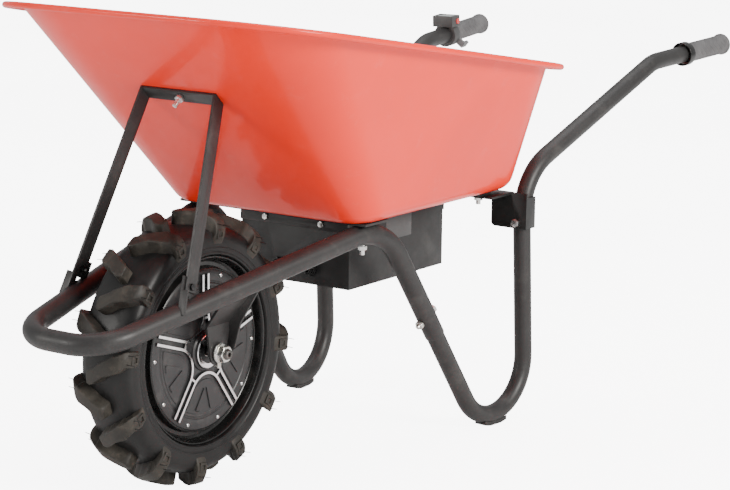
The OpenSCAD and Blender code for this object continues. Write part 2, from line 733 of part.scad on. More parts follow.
slots = 18;
slot_in = 66;
slot_deep = 22;
slot_w = 12;
module motor_stator() color([0.35, 0.35, 0.37]) centred() spun() difference() {
    translate([0, 0, -18]) linear_extrude(36) difference() {
        circle(stator_r);
        circle(axle_d / 2 + gap);
        for (i = [0:slots - 1]) rotate(i * 360 / slots) 
            translate([slot_in, -slot_w / 2]) square([slot_deep, slot_w]);
        for (i = [0:slots - 1]) rotate(i * 360 / slots) translate([80, -1.5]) square([20, 3]);
        for (i = [0:4]) rotate(i * 72) translate([38, 0]) circle(13);
    }
}

module stator_windings() color([0.72, 0.4, 0.2]) centred() spun()
    for (i = [0:slots - 1]) rotate([0, 0, i * 360 / slots]) 
        translate([slot_in + skin, skin - slot_w / 2, -24])
        cube([slot_deep - 2 * skin, slot_w - 2 * skin, 48]);

module magnet_ring() color([0.5, 0.5, 0.52]) centred() spun() translate([0, 0, -18])
    linear_extrude(36) ring_2d(magnet_in + magnet_t - gap, magnet_in);

module wheel_rim() color([0.1, 0.1, 0.1]) centred() difference() {
    spun() rotate_extrude($fn = 128) polygon([
        [drum_in, -cover_in], [cover_r, -cover_in], [cover_r, -cover_in - cover_t],
        [rim_r - 8, -rim_half + 3], [rim_r, -rim_half],
        [rim_r, -rim_half + 4], [rim_r - 4, -rim_half + 6], [seat_r, -rim_half + 10],
        [seat_r, -16], [seat_r - 6, -10], [seat_r - 6, 10], [seat_r, 16],
        [seat_r, rim_half - 10], [rim_r - 4, rim_half - 6], [rim_r, rim_half - 4],
        [rim_r, rim_half], [rim_r - 8, rim_half - 3],
        [cover_r, cover_in + cover_t], [cover_r, cover_in], [drum_in, cover_in]]);
    both() screw_places() translate([0, 0, -screw_deep])
        cylinder(r = screw_r + gap, h = screw_deep + 3);
}

module screw_places() spun() for (i = [0:cover_screw_count - 1])
    rotate([0, 0, -2 - i * 360 / cover_screw_count]) translate([screw_ring_r, 0, cover_in + cover_t])
        children();

module cover_screws() color([0.85, 0.85, 0.87]) centred() both() screw_places() {
    difference() {
        cylinder(r = 4.2, h = 2.4);
        translate([0, 0, 1]) cylinder(r = 1.8, h = 2, $fn = 6);
    }
    translate([0, 0, -screw_l]) cylinder(r = screw_r, h = screw_l + 0.2);
}

// scalloped spokes: pairs of ribs that run out from arches round the boss
module spoke_2d() {
    for (i = [0:4]) rotate(-18 - i * 72) {
        for (s = [-1, 1]) rotate(s * 4) translate([56, -1.6]) square([60, 3.2]);
        rotate(36) difference() {
            translate([44, 0]) ring_2d(25, 21.5);
            translate([46, -30]) square([60, 60]);
        }
    }
}

module hub_cover() difference() {
    union() {
        spun() translate([0, 0, cover_in]) cylinder(r = cover_r - gap, h = cover_t, $fn = 96);
        spun() translate([0, 0, cover_in - 4]) cylinder(r = bearing_r + 5, h = 5);
        spun() translate([0, 0, cover_in]) cylinder(r = boss_r, h = boss_out - cover_in);
        spun() translate([0, 0, cover_in + cover_t - 0.5]) linear_extrude(3) spoke_2d();
    }
    spun() translate([0, 0, boss_out - 2 - bearing_w - 4]) cylinder(r = bearing_r + gap,
        h = bearing_w + 2);
    spun() cylinder(r = axle_d / 2 + 1, h = 100);
    spun() translate([0, 0, cover_in - 5]) cylinder(r = bearing_r + gap, h = 10);
    screw_places() translate([0, 0, -screw_deep])
        cylinder(r = screw_r + gap, h = screw_deep + 3);
}

module left_hub_cover() color([0.12, 0.12, 0.12]) centred() hub_cover();
module right_hub_cover() color([0.12, 0.12, 0.12]) centred() mirror([0, 1, 0]) hub_cover();

// sealed ball bearings, a shield let in between the races on each face
module hub_bearings() color([0.7, 0.7, 0.72]) centred() both() spun()
    translate([0, 0, boss_out - 4 - bearing_w]) rotate_extrude() polygon([
        [axle_d / 2 + gap, 0], [axle_d / 2 + 2.5, 0], [axle_d / 2 + 2.5, 1], [bearing_r - 3, 1],
        [bearing_r - 3, 0], [bearing_r, 0], [bearing_r, bearing_w], [bearing_r - 3, bearing_w],
        [bearing_r - 3, bearing_w - 1], [axle_d / 2 + 2.5, bearing_w - 1],
        [axle_d / 2 + 2.5, bearing_w], [axle_d / 2 + gap, bearing_w]]);

tyre_half = tyre_w / 2;
crown_r = wheel_r - 21;
lug_w = 23;
lug_slant = 24;        // from straight across the tread
lug_turn = -1;         // turn of the whole tread, so that a shoulder block stands at the front
side_k = (crown_r - rim_r) / 49;    // height of the sidewall against the usual one
function side_up(d) = rim_r + d * side_k;
function side_down(d) = crown_r - d * side_k;

module carcass_2d() polygon([
    [seat_r + 0.2, -rim_half + 10.2], [rim_r - 3.5, -rim_half + 6.3], [rim_r + 0.3, -rim_half + 6.5],
    [side_up(4), -tyre_half + 2], [side_up(18), -tyre_half], [side_down(22), -tyre_half + 1],
    [side_down(9), -tyre_half + 8], [side_down(2), -tyre_half + 22], [crown_r, -tyre_half + 36],
    [crown_r, tyre_half - 36], [side_down(2), tyre_half - 22], [side_down(9), tyre_half - 8],
    [side_down(22), tyre_half - 1], [side_up(18), tyre_half], [side_up(4), tyre_half - 2],
    [rim_r + 0.3, rim_half - 6.5], [rim_r - 3.5, rim_half - 6.3], [seat_r + 0.2, rim_half - 10.2],
    [seat_r + 0.2, rim_half - 16], [side_up(6), rim_half - 14], [side_down(24), tyre_half - 10],
    [side_down(10), tyre_half - 22], [side_down(9), -tyre_half + 22],
    [side_down(24), -tyre_half + 10], [side_up(6), -rim_half + 14], [seat_r + 0.2, -rim_half + 16]]);

module lug_shell_2d() polygon([
    [side_down(24), -tyre_half + 3], [side_down(20), -tyre_half - 3], [wheel_r - 12, -tyre_half + 1],
    [wheel_r - 2, -tyre_half + 12], [wheel_r, 0], [wheel_r - 2, tyre_half - 12],
    [wheel_r - 12, tyre_half - 1], [side_down(20), tyre_half + 3], [side_down(24), tyre_half - 3],
    [side_down(14), 0]]);

module lug_bars() for (i = [0:lug_count - 1]) for (s = [-1, 1])
    rotate([0, 0, (i + (s > 0 ? 0 : 0.5)) * 360 / lug_count + lug_turn])
        translate([side_down(26), 0, s * 4]) rotate([s * lug_slant, 0, 0])
        translate([0, -lug_w / 2, s > 0 ? 0 : -90]) cube([60, lug_w, 90]);

module tyre() color([0.09, 0.09, 0.09]) centred() spun() union() {
    rotate_extrude($fn = 128) carcass_2d();
    intersection() {
        rotate_extrude($fn = 128) lug_shell_2d();
        lug_bars();
    }
}

// ---------- handles ----------

module grip_line() along(grip_at(0), grip_at(1)) children();

module grip() grip_line() difference() {
    union() {
        cylinder(r = grip_r, h = grip_l);
        cylinder(r = grip_end_r, h = grip_end_t);
        for (i = [0:9]) translate([0, 0, 16 + i * 10]) cylinder(r = grip_r + 0.6, h = 4);
    }
    translate([0, 0, grip_end_t]) cylinder(r = handle_r + gap, h = grip_l);
}

module left_grip() color([0.2, 0.2, 0.2]) centred() grip();
module right_grip() color([0.2, 0.2, 0.2]) centred() mirror([0, 1, 0]) grip();

module left_hand_stop() color([0.05, 0.05, 0.05]) centred() grip_line()
    translate([0, 0, grip_l + skin]) difference() {
        cylinder(r = stop_r, h = stop_l);
        translate([0, 0, -1]) cylinder(r = handle_r + gap, h = stop_l + 2);
        translate([0, 0, 5]) cylinder(r = stop_r - 2, h = stop_l);
    }

// throttle: collar round the right tube, display pod on top, paddle under the grip's start
collar_r = 23;
collar_l = 22;
pod_l = 31;
pod_w = 43;
pod_h = 19;
window_in = 6;         // margin of the display window on each side
window_deep = 1.5;
paddle_gap = 8;
button_r = 5.5;
button_deep = 7;
paddle_at = 230;       // direction of the paddle from straight up, turning away from the middle
collar_s = grip_l + paddle_gap + 2 * skin;
// Z of the children runs forward down the handle, X up and Y away from the middle
module throttle_frame() {
    g = unit(flip(grip_at(1) - grip_at(0)));
    y = unit([0, -1, 0] + ([0, 1, 0] * g) * g);
    framed(flip(grip_at(collar_s)), cross(y, g), y, g) children();
}

module throttle_housing() color([0.12, 0.12, 0.12]) centred() throttle_frame() difference() {
    union() {
        cylinder(r = collar_r, h = collar_l);
        translate([handle_r + 2, -pod_w / 2, 0]) cube([pod_h + 2, pod_w, pod_l]);
    }
    translate([0, 0, -1]) cylinder(r = handle_r + gap, h = pod_l + 2);
    translate([handle_r + pod_h + 4 - window_deep, window_in - pod_w / 2, window_in])
        cube([2 * window_deep, pod_w - 2 * window_in, pod_l - 2 * window_in]);
    button_place() translate([0, 0, -button_deep]) cylinder(r = button_r + 2 * gap, h = 10);
    throttle_screw_place() cylinder(r = clamp_head_r + gap, h = 6);
    throttle_screw_place() translate([0, 0, -8]) cylinder(r = 1.5 + gap, h = 9);
}

module display_window() color([0.65, 0.68, 0.7]) centred() throttle_frame()
    translate([handle_r + pod_h + 4 - window_deep, window_in - pod_w / 2 + gap, window_in + gap])
    cube([window_deep - 0.2, pod_w - 2 * (window_in + gap), pod_l - 2 * (window_in + gap)]);

module button_place() translate([handle_r + 12, -pod_w / 2, 9]) rotate([90, 0, 0]) children();

module power_button() color([0.85, 0.12, 0.1]) centred() throttle_frame() button_place() {
    translate([0, 0, -4]) cylinder(r = button_r, h = 6.5);
}

// let into the collar from below, Z out of it
clamp_head_r = 2.8;
clamp_head_h = 2.5;
module throttle_screw_place() translate([clamp_head_h - collar_r, 8, collar_l / 2])
    rotate([0, -90, 0]) children();

module throttle_screw() color([0.7, 0.7, 0.72]) centred() throttle_frame()
    throttle_screw_place() difference() {
        union() {
            cylinder(r = clamp_head_r, h = clamp_head_h);
            translate([0, 0, -4]) cylinder(r = 1.5, h = 4.2);
        }
        translate([0, 0, 1]) cylinder(r = 1.3, h = 3, $fn = 6);
    }

// ring round the tube with a bent lever beside the grip
paddle_w = 12;
module throttle_paddle() color([0.75, 0.75, 0.76]) centred() throttle_frame()
    translate([0, 0, -paddle_gap]) {
        difference() {
            cylinder(r = grip_r + 1.2, h = paddle_gap - skin);
            translate([0, 0, -1]) cylinder(r = handle_r + gap, h = paddle_gap + 2);
        }
        rotate([0, 0, paddle_at]) translate([0, paddle_w / 2, 0]) rotate([90, 0, 0])
            linear_extrude(paddle_w) polygon([[17, 0.5], [30, 0.5], [30, -12], [36, -12],
                [36, 7.2], [17, 7.2]]);
    }

tub();
front_frame_tube();
left_handle_tube();
right_handle_tube();
left_foot_skid();
right_foot_skid();
splice_bolts();
splice_nuts();
left_fork_plate();
right_fork_plate();
left_brace_bracket();
right_brace_bracket();
front_brace();
brace_bolts();
brace_nuts();
tub_front_bolt();
tub_front_nut();
front_cross_angle();
rear_cross_angle();
left_clamp_bracket();
right_clamp_bracket();
clamp_bolts();
clamp_nuts();
tub_bolts();
tub_nuts();
power_box();
power_box_lid();
box_bolts();
box_nuts();
battery_pack();
motor_controller();
rating_label();
cable_glands();
charge_socket();
axle();
axle_nuts();
axle_washers();
tab_washers();
motor_stator();
stator_windings();
wheel_rim();
magnet_ring();
left_hub_cover();
right_hub_cover();
cover_screws();
hub_bearings();
tyre();
left_grip();
right_grip();
left_hand_stop();
throttle_housing();
throttle_screw();
display_window();
power_button();
throttle_paddle();
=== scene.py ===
import math

import bmesh
import bpy
from bpy.props import FloatProperty, FloatVectorProperty, IntProperty, PointerProperty
from bpy.types import Operator, Panel, PropertyGroup
from mathutils import Matrix, Vector


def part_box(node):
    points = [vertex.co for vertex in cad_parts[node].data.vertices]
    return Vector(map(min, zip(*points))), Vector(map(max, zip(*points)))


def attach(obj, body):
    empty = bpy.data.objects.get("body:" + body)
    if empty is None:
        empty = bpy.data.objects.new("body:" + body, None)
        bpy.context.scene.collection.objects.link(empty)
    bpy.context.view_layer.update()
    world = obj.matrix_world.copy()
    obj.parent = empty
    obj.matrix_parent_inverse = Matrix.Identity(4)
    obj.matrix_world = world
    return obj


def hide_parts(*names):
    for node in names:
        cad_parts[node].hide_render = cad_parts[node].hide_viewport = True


bl_info = {
    "name": "Power Wheelbarrow",
    "version": (1, 0, 0),
    "blender": (4, 5, 0),
    "location": "3D View > Sidebar > Wheelbarrow",
    "description": "Builds the looks of a hub motor wheelbarrow round its packed CAD frame",
    "category": "Object",
}

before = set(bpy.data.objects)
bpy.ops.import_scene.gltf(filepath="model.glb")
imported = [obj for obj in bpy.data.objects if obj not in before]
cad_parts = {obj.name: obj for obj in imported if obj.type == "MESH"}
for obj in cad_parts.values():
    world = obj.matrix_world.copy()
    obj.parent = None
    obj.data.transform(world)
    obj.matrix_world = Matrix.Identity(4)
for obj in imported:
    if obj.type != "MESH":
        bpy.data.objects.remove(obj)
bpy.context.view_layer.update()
MM = 0.001
AXLE = Vector(((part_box("axle")[0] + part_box("axle")[1]) / 2))


# ---------- places taken over from the design ----------

def at(x, y, z):
    """A point given in millimetres from the axle (x), the middle plane (y) and the ground (z)."""
    return Vector((AXLE.x + x * MM, y * MM, z * MM))


# Sizes of the design in millimetres. A pair is a place in the left handle's upright plane:
# how far behind the axle, and how high. S is along that plane, C a centre, R a radius.
SPLAY = math.radians(5.43)
FOOT_S = 582.5
PLANE_Y = 409 / 2 - FOOT_S * math.sin(SPLAY)
FRAME_R = 33.7 / 2
HANDLE_R = 30.5 / 2
FOOT_R = 88.0
FOOT_C = Vector((FOOT_S, 2.2 + HANDLE_R + FOOT_R))
APEX = Vector((287.0, 389.6))
KNEE = Vector((653.5, 421.4))
WRIST = Vector((1043.0, 585.5))
TIP = Vector((1268 / math.cos(SPLAY), 600.0))
GRIP_DIR = (TIP - WRIST).normalized()


def side(p):
    """A point of the left handle's upright plane: p[0] back along it and p[1] up."""
    return Vector((-p[0] * math.cos(SPLAY), PLANE_Y + p[0] * math.sin(SPLAY), p[1]))


def aim(p, c, r, sign):
    """Where a line from p touches the circle of radius r about c."""
    d = c - p
    a = math.atan2(d.y, d.x) + sign * math.asin(r / d.length)
    return p + math.sqrt(d.length ** 2 - r * r) * Vector((math.cos(a), math.sin(a)))


LEG_TOUCH = aim(APEX, FOOT_C, FOOT_R, -1)
POST_TOUCH = aim(KNEE, FOOT_C, FOOT_R, 1)
TOUCH_MID = (LEG_TOUCH + POST_TOUCH) / 2 - FOOT_C
FOOT_V = FOOT_C + TOUCH_MID * (FOOT_R ** 2 / TOUCH_MID.length_squared)
LEG_DIR = (FOOT_V - APEX).normalized()
LOOP = Vector((288.0, 78.0, 389.6 - 0.19 * (288.0 - side(APEX).x)))


def flip(p):
    return Vector((p[0], -p[1], p[2]))


def place(p):
    return at(p[0], p[1], p[2])


def grip_at(d):
    return side(TIP - d * GRIP_DIR)


# ---------- meshes ----------

def plain(verts, faces, mats, index=None, merge=0.0):
    """A mesh with its faces outward that isn't a piece yet."""
    mesh = bpy.data.meshes.new("part")
    mesh.from_pydata([tuple(v) for v in verts], [], faces)
    for m in mats:
        mesh.materials.append(m)
    if index is not None:
        mesh.polygons.foreach_set("material_index", index)
    bm = bmesh.new()
    bm.from_mesh(mesh)
    if merge:
        bmesh.ops.remove_doubles(bm, verts=bm.verts, dist=merge)
    bmesh.ops.recalc_face_normals(bm, faces=bm.faces)
    bm.to_mesh(mesh)
    bm.free()
    return mesh


def piece(name, verts, faces, mats, body, sharp=35, replaces=(), merge=0.0):
    """Makes a finished piece in its place, riding on a body."""
    return settle(name, plain(verts, faces, mats, merge=merge), body, sharp, replaces)


def linked(name, data):
    """A new object in the scene."""
    obj = bpy.data.objects.new(name, data)
    bpy.context.scene.collection.objects.link(obj)
    return obj


def settle(name, mesh, body, sharp=35, replaces=()):
    """Puts a mesh in the scene as a piece that rides on a body and stands for CAD nodes."""
    mesh.name = name
    mesh.shade_smooth()
    mesh.set_sharp_from_angle(angle=math.radians(sharp))
    obj = linked(name, mesh)
    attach(obj, body)
    if replaces:
        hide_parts(*replaces)
    return obj


def evaluated(obj):
    """The plain mesh of an object with its modifiers applied; the object is removed."""
    graph = bpy.context.evaluated_depsgraph_get()
    graph.update()
    result = bpy.data.meshes.new_from_object(obj.evaluated_get(graph), depsgraph=graph)
    bpy.data.objects.remove(obj)
    return result


def applied(mesh, *modifiers):
    """The mesh with modifiers applied. A modifier is (type, {setting: value})."""
    obj = linked("work", mesh)
    for kind, settings in modifiers:
        mod = obj.modifiers.new(kind, kind)
        for key, value in settings.items():
            setattr(mod, key, value)
    return evaluated(obj)


def dressed(node, material, body="chassis", edge=0.5, name=None, sharp=40):
    """A copy of a CAD node with merged vertices, flat faces joined and its edges rounded."""
    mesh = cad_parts[node].data.copy()
    mesh.materials.clear()
    mesh.materials.append(material)
    bm = bmesh.new()
    bm.from_mesh(mesh)
    for key in list(bm.loops.layers.uv.values()):
        bm.loops.layers.uv.remove(key)
    bmesh.ops.remove_doubles(bm, verts=bm.verts, dist=2e-6)
    bmesh.ops.dissolve_limit(bm, angle_limit=math.radians(0.6), verts=bm.verts, edges=bm.edges)
    bmesh.ops.recalc_face_normals(bm, faces=bm.faces)
    for f in bm.faces:
        f.material_index = 0
    bm.to_mesh(mesh)
    bm.free()
    result = applied(mesh, ("BEVEL", {
        "width": edge * MM, "segments": 2, "limit_method": "ANGLE",
        "angle_limit": math.radians(38), "use_clamp_overlap": True, "profile": 0.6}))
    return settle(name or node + "_finish", result, body, sharp, [node])


def bands(rings, n, closed=False, round_ring=True):
    """Quads from each ring of n points to the next, and from the last to the first if closed."""
    faces = []
    for i in range(rings if closed else rings - 1):
        a, b = i * n, (i + 1) % rings * n
        for k in range(n if round_ring else n - 1):
            k2 = (k + 1) % n
            faces.append((a + k, a + k2, b + k2, b + k))
    return faces


def caps(rings, n):
    """Faces that close the first and the last ring."""
    return [tuple(range(n)), tuple((rings - 1) * n + k for k in range(n))]


def wheel_at(x, y, z):
    """A point in the wheel, in millimetres from the middle of the axle."""
    return AXLE + Vector((x, y, z)) * MM


def polar(r, a, y):
    """A point in the wheel: radius, angle from the front towards the top, distance out."""
    return wheel_at(r * math.cos(a), y, r * math.sin(a))


def lathe(profile, segments=128, closed=True):
    """Vertices and faces of a profile of (radius, y) turned about the axle, and each face's strip."""
    n = len(profile)
    verts = [polar(r, 2 * math.pi * k / segments, y) for k in range(segments) for r, y in profile]
    strip = [j for _ in range(segments) for j in range(n if closed else n - 1)]
    return verts, bands(segments, n, True, closed), strip


def rounded(points, radius, steps=3):
    """A closed outline with its corners rounded by a small radius."""
    out = []
    n = len(points)
    for i in range(n):
        p, a, b = Vector(points[i]), Vector(points[i - 1]), Vector(points[(i + 1) % n])
        r = min(radius, (a - p).length * 0.45, (b - p).length * 0.45)
        start, end = p + (a - p).normalized() * r, p + (b - p).normalized() * r
        for k in range(steps + 1):
            t = k / steps
            out.append((1 - t) ** 2 * start + 2 * t * (1 - t) * p + t * t * end)
    return out


def bent(points, radii, step=3.0):
    """A centre line through points with a bend at each inner one, in small steps."""
    line = [points[0]]
    for i in range(1, len(points) - 1):
        p = points[i]
        u, v = (p - points[i - 1]).normalized(), (points[i + 1] - p).normalized()
        turn = u.angle(v)
        cut = radii[i] * math.tan(turn / 2)
        start = p - u * cut
        inward = (v - v.dot(u) * u).normalized()
        centre = start + inward * radii[i]
        steps = max(2, int(math.degrees(turn) / step))
        length = (start - line[-1]).length
        for k in range(1, max(1, int(length / 25))):
            line.append(line[-1].lerp(start, 1 / (int(length / 25) - k + 1)))
        for k in range(steps + 1):
            a = turn * k / steps
            line.append(centre - inward * radii[i] * math.cos(a) + u * radii[i] * math.sin(a))
    last = points[-1]
    first = line[-1]
    steps = max(1, int((last - first).length / 25))
    for k in range(1, steps + 1):
        line.append(first.lerp(last, k / steps))
    return line


def swept(line, radius, sides=40, closed=False, wall=0.0, lip=0.8):
    """A round tube along a centre line, its ends rounded over and turned in to the wall."""
    n = len(line)
    along = []
    for i in range(n):
        if closed:
            along.append((line[(i + 1) % n] - line[i - 1]).normalized())
        else:
            along.append((line[min(i + 1, n - 1)] - line[max(i - 1, 0)]).normalized())
    across = along[0].orthogonal().normalized()
    rings, verts, faces = [], [], []

    def ring(c, t, x, r):
        y = t.cross(x)
        rings.append(len(verts))
        for k in range(sides):
            a = 2 * math.pi * k / sides
            verts.append(place(c + x * r * math.cos(a) + y * r * math.sin(a)))

    frames = []
    for i in range(n):
        across = (across - across.dot(along[i]) * along[i]).normalized()
        frames.append(across.copy())
    if not closed:
        t, x = along[0], frames[0]
        depth = 8.0
        if wall:
            ring(line[0] + t * depth, t, x, radius - wall)
            ring(line[0] + t * lip * 0.3, t, x, radius - wall)
        ring(line[0], t, x, radius - min(wall or radius * 0.98, lip) if wall else radius - lip)
        ring(line[0] + t * lip * 0.3, t, x, radius - lip * 0.3)
        line = [line[0] + t * lip] + list(line[1:-1]) + [line[-1] - along[-1] * lip]
    for i in range(n):
        ring(line[i], along[i], frames[i], radius)
    if not closed:
        t, x = along[-1], frames[-1]
        ring(line[-1] + t * lip * 0.7, t, x, radius - lip * 0.3)
        ring(line[-1] + t * lip, t, x, radius - lip)
        if wall:
            ring(line[-1] + t * lip * 0.7, t, x, radius - wall)
            ring(line[-1] - t * 7, t, x, radius - wall)
    m = len(rings)
    for i in range(m if closed else m - 1):
        a, b = rings[i], rings[(i + 1) % m]
        best = 0
        if closed and i == m - 1:
            first = verts[b]
            best = min(range(sides), key=lambda k: (verts[a + k] - first).length)
        for k in range(sides):
            k2 = (k + 1) % sides
            faces.append((a + (k + best) % sides, a + (k2 + best) % sides, b + k2, b + k))
    if not closed:
        faces.append(tuple(rings[0] + k for k in range(sides)))
        faces.append(tuple(rings[-1] + k for k in range(sides)))
    return verts, faces


# ---------- materials ----------

def blank(name):
    m = bpy.data.materials.new(name)
    m.use_nodes = True
    tree = m.node_tree
    tree.nodes.clear()
    out = tree.nodes.new("ShaderNodeOutputMaterial")
    bsdf = tree.nodes.new("ShaderNodeBsdfPrincipled")
    tree.links.new(bsdf.outputs[0], out.inputs[0])
    return m, tree, bsdf


def where(tree, stretch=(1, 1, 1), turn=(0, 0, 0), centre=(0, 0, 0)):
    coord = tree.nodes.new("ShaderNodeTexCoord")
    mapping = tree.nodes.new("ShaderNodeMapping")
    mapping.vector_type = "POINT"
    mapping.inputs["Location"].default_value = [-c * s for c, s in zip(centre, stretch)]
    mapping.inputs["Scale"].default_value = stretch
    mapping.inputs["Rotation"].default_value = turn
    tree.links.new(coord.outputs["Object"], mapping.inputs["Vector"])
    return mapping.outputs["Vector"]


def noise(tree, vector, scale, detail=4.0, rough=0.55, warp=0.0):
    node = tree.nodes.new("ShaderNodeTexNoise")
    node.inputs["Scale"].default_value = scale
    node.inputs["Detail"].default_value = detail
    node.inputs["Roughness"].default_value = rough
    node.inputs["Distortion"].default_value = warp
    tree.links.new(vector, node.inputs["Vector"])
    return node.outputs["Fac"]


def spread(tree, value, low, high, to_low=0.0, to_high=1.0):
    node = tree.nodes.new("ShaderNodeMapRange")
    node.interpolation_type = "SMOOTHSTEP"
    for key, v in (("From Min", low), ("From Max", high), ("To Min", to_low), ("To Max", to_high)):
        node.inputs[key].default_value = v
    tree.links.new(value, node.inputs["Value"])
    return node.outputs["Result"]


def blend(tree, factor, a, b, how="MIX"):
    node = tree.nodes.new("ShaderNodeMix")
    node.data_type = "RGBA"
    node.blend_type = how
    for key, v in (("Factor", factor), ("A", a), ("B", b)):
        socket = [s for s in node.inputs if s.name == key and
                  s.type == ("VALUE" if key == "Factor" else "RGBA")][0]
        if isinstance(v, bpy.types.NodeSocket):
            tree.links.new(v, socket)
        elif key == "Factor":
            socket.default_value = v
        else:
            socket.default_value = (*v, 1) if len(v) == 3 else v
    return [s for s in node.outputs if s.type == "RGBA"][0]


def maths(tree, how, a, b=0.0):
    node = tree.nodes.new("ShaderNodeMath")
    node.operation = how
    for i, v in enumerate((a, b)):
        if isinstance(v, bpy.types.NodeSocket):
            tree.links.new(v, node.inputs[i])
        else:
            node.inputs[i].default_value = v
    return node.outputs[0]


def bumped(tree, bsdf, heights):
    """Bump from a list of (height, strength, distance in millimetres), one on the other."""
    normal = None
    for height, strength, distance in heights:
        node = tree.nodes.new("ShaderNodeBump")
        node.inputs["Strength"].default_value = strength
        node.inputs["Distance"].default_value = distance * MM
        tree.links.new(height, node.inputs["Height"])
        if normal is not None:
            tree.links.new(normal, node.inputs["Normal"])
        normal = node.outputs["Normal"]
    tree.links.new(normal, bsdf.inputs["Normal"])


def coat_of(name, colour, light, dark, rough, grain, grain_mm, dust=(0.35, 0.33, 0.30), dusty=0.15,
            coat=0.0, scratch=0.2, metallic=0.0, specular=0.5):
    """Paint or plastic: two tones in soft clouds, fine grain, scratches and a little dust."""
    m, tree, bsdf = blank(name)
    v = where(tree)
    clouds = spread(tree, noise(tree, v, 7, 5, 0.6, 0.4), 0.3, 0.72)
    fine = noise(tree, v, grain, 3, 0.5)
    tone = blend(tree, clouds, dark, colour)
    tone = blend(tree, spread(tree, fine, 0.45, 0.75, 0, 0.55), tone, light)
    streak = noise(tree, where(tree, (1, 1, 14), (0.5, 0.3, 0.8)), 90, 2, 0.7, 1.2)
    mark = spread(tree, streak, 0.70, 0.76, 0, scratch)
    patch = spread(tree, noise(tree, v, 22, 6, 0.65), 0.5, 0.72, 0, dusty)
    tone = blend(tree, mark, tone, light)
    tone = blend(tree, patch, tone, dust)
    tree.links.new(tone, bsdf.inputs["Base Color"])
    base = spread(tree, noise(tree, v, 30, 5, 0.6), 0.25, 0.75, rough[0], rough[1])
    tree.links.new(maths(tree, "ADD", base, maths(tree, "MULTIPLY", patch, 0.5)),
                   bsdf.inputs["Roughness"])
    bsdf.inputs["Metallic"].default_value = metallic
    bsdf.inputs["Coat Weight"].default_value = coat
    bsdf.inputs["Coat Roughness"].default_value = 0.06
    bsdf.inputs["Specular IOR Level"].default_value = specular
    bumped(tree, bsdf, [(fine, 0.4, grain_mm), (noise(tree, v, 45, 3, 0.5), 0.12, 0.08),
                        (mark, 0.2, -0.04)])
    return m


def metal_of(name, colour, tint, rough, line=(1, 1, 1), line_scale=260, stain=0.25, depth=0.02):
    """Bare or plated metal with directional lines, stains and uneven gloss."""
    m, tree, bsdf = blank(name)
    v = where(tree)
    lines = noise(tree, where(tree, line), line_scale, 3, 0.6)
    cloud = spread(tree, noise(tree, v, 40, 5, 0.6, 0.5), 0.35, 0.7, 0, 1)
    tone = blend(tree, cloud, colour, tint)
    tone = blend(tree, spread(tree, lines, 0.3, 0.7, 0, stain), tone,
                 tuple(c * 0.55 for c in colour))
    tree.links.new(tone, bsdf.inputs["Base Color"])
    tree.links.new(spread(tree, noise(tree, v, 120, 4, 0.6), 0.3, 0.7, rough[0], rough[1]),
                   bsdf.inputs["Roughness"])
    bsdf.inputs["Metallic"].default_value = 1.0
    bumped(tree, bsdf, [(lines, 0.5, depth), (noise(tree, v, 300, 2, 0.5), 0.2, 0.01)])
    return m


def rubber_of(name, colour, light, rough, grain=900, dusty=0.3, dust=(0.20, 0.19, 0.17)):
    """Moulded rubber: fine skin, mould bloom and dry dust that gathers in patches."""
    m, tree, bsdf = blank(name)
    v = where(tree)
    skin = noise(tree, v, grain, 2, 0.5)
    bloom = spread(tree, noise(tree, v, 26, 6, 0.65, 0.6), 0.35, 0.75)
    tone = blend(tree, bloom, colour, light)
    patch = spread(tree, noise(tree, v, 60, 6, 0.7, 0.3), 0.5, 0.8, 0, dusty)
    tone = blend(tree, patch, tone, dust)
    tree.links.new(tone, bsdf.inputs["Base Color"])
    tree.links.new(maths(tree, "ADD", spread(tree, bloom, 0, 1, rough[0], rough[1]),
                         maths(tree, "MULTIPLY", patch, 0.4)), bsdf.inputs["Roughness"])
    bsdf.inputs["Specular IOR Level"].default_value = 0.3
    bumped(tree, bsdf, [(skin, 0.5, 0.10), (noise(tree, v, 120, 4, 0.6), 0.35, 0.25)])
    return m


FINISH = {}


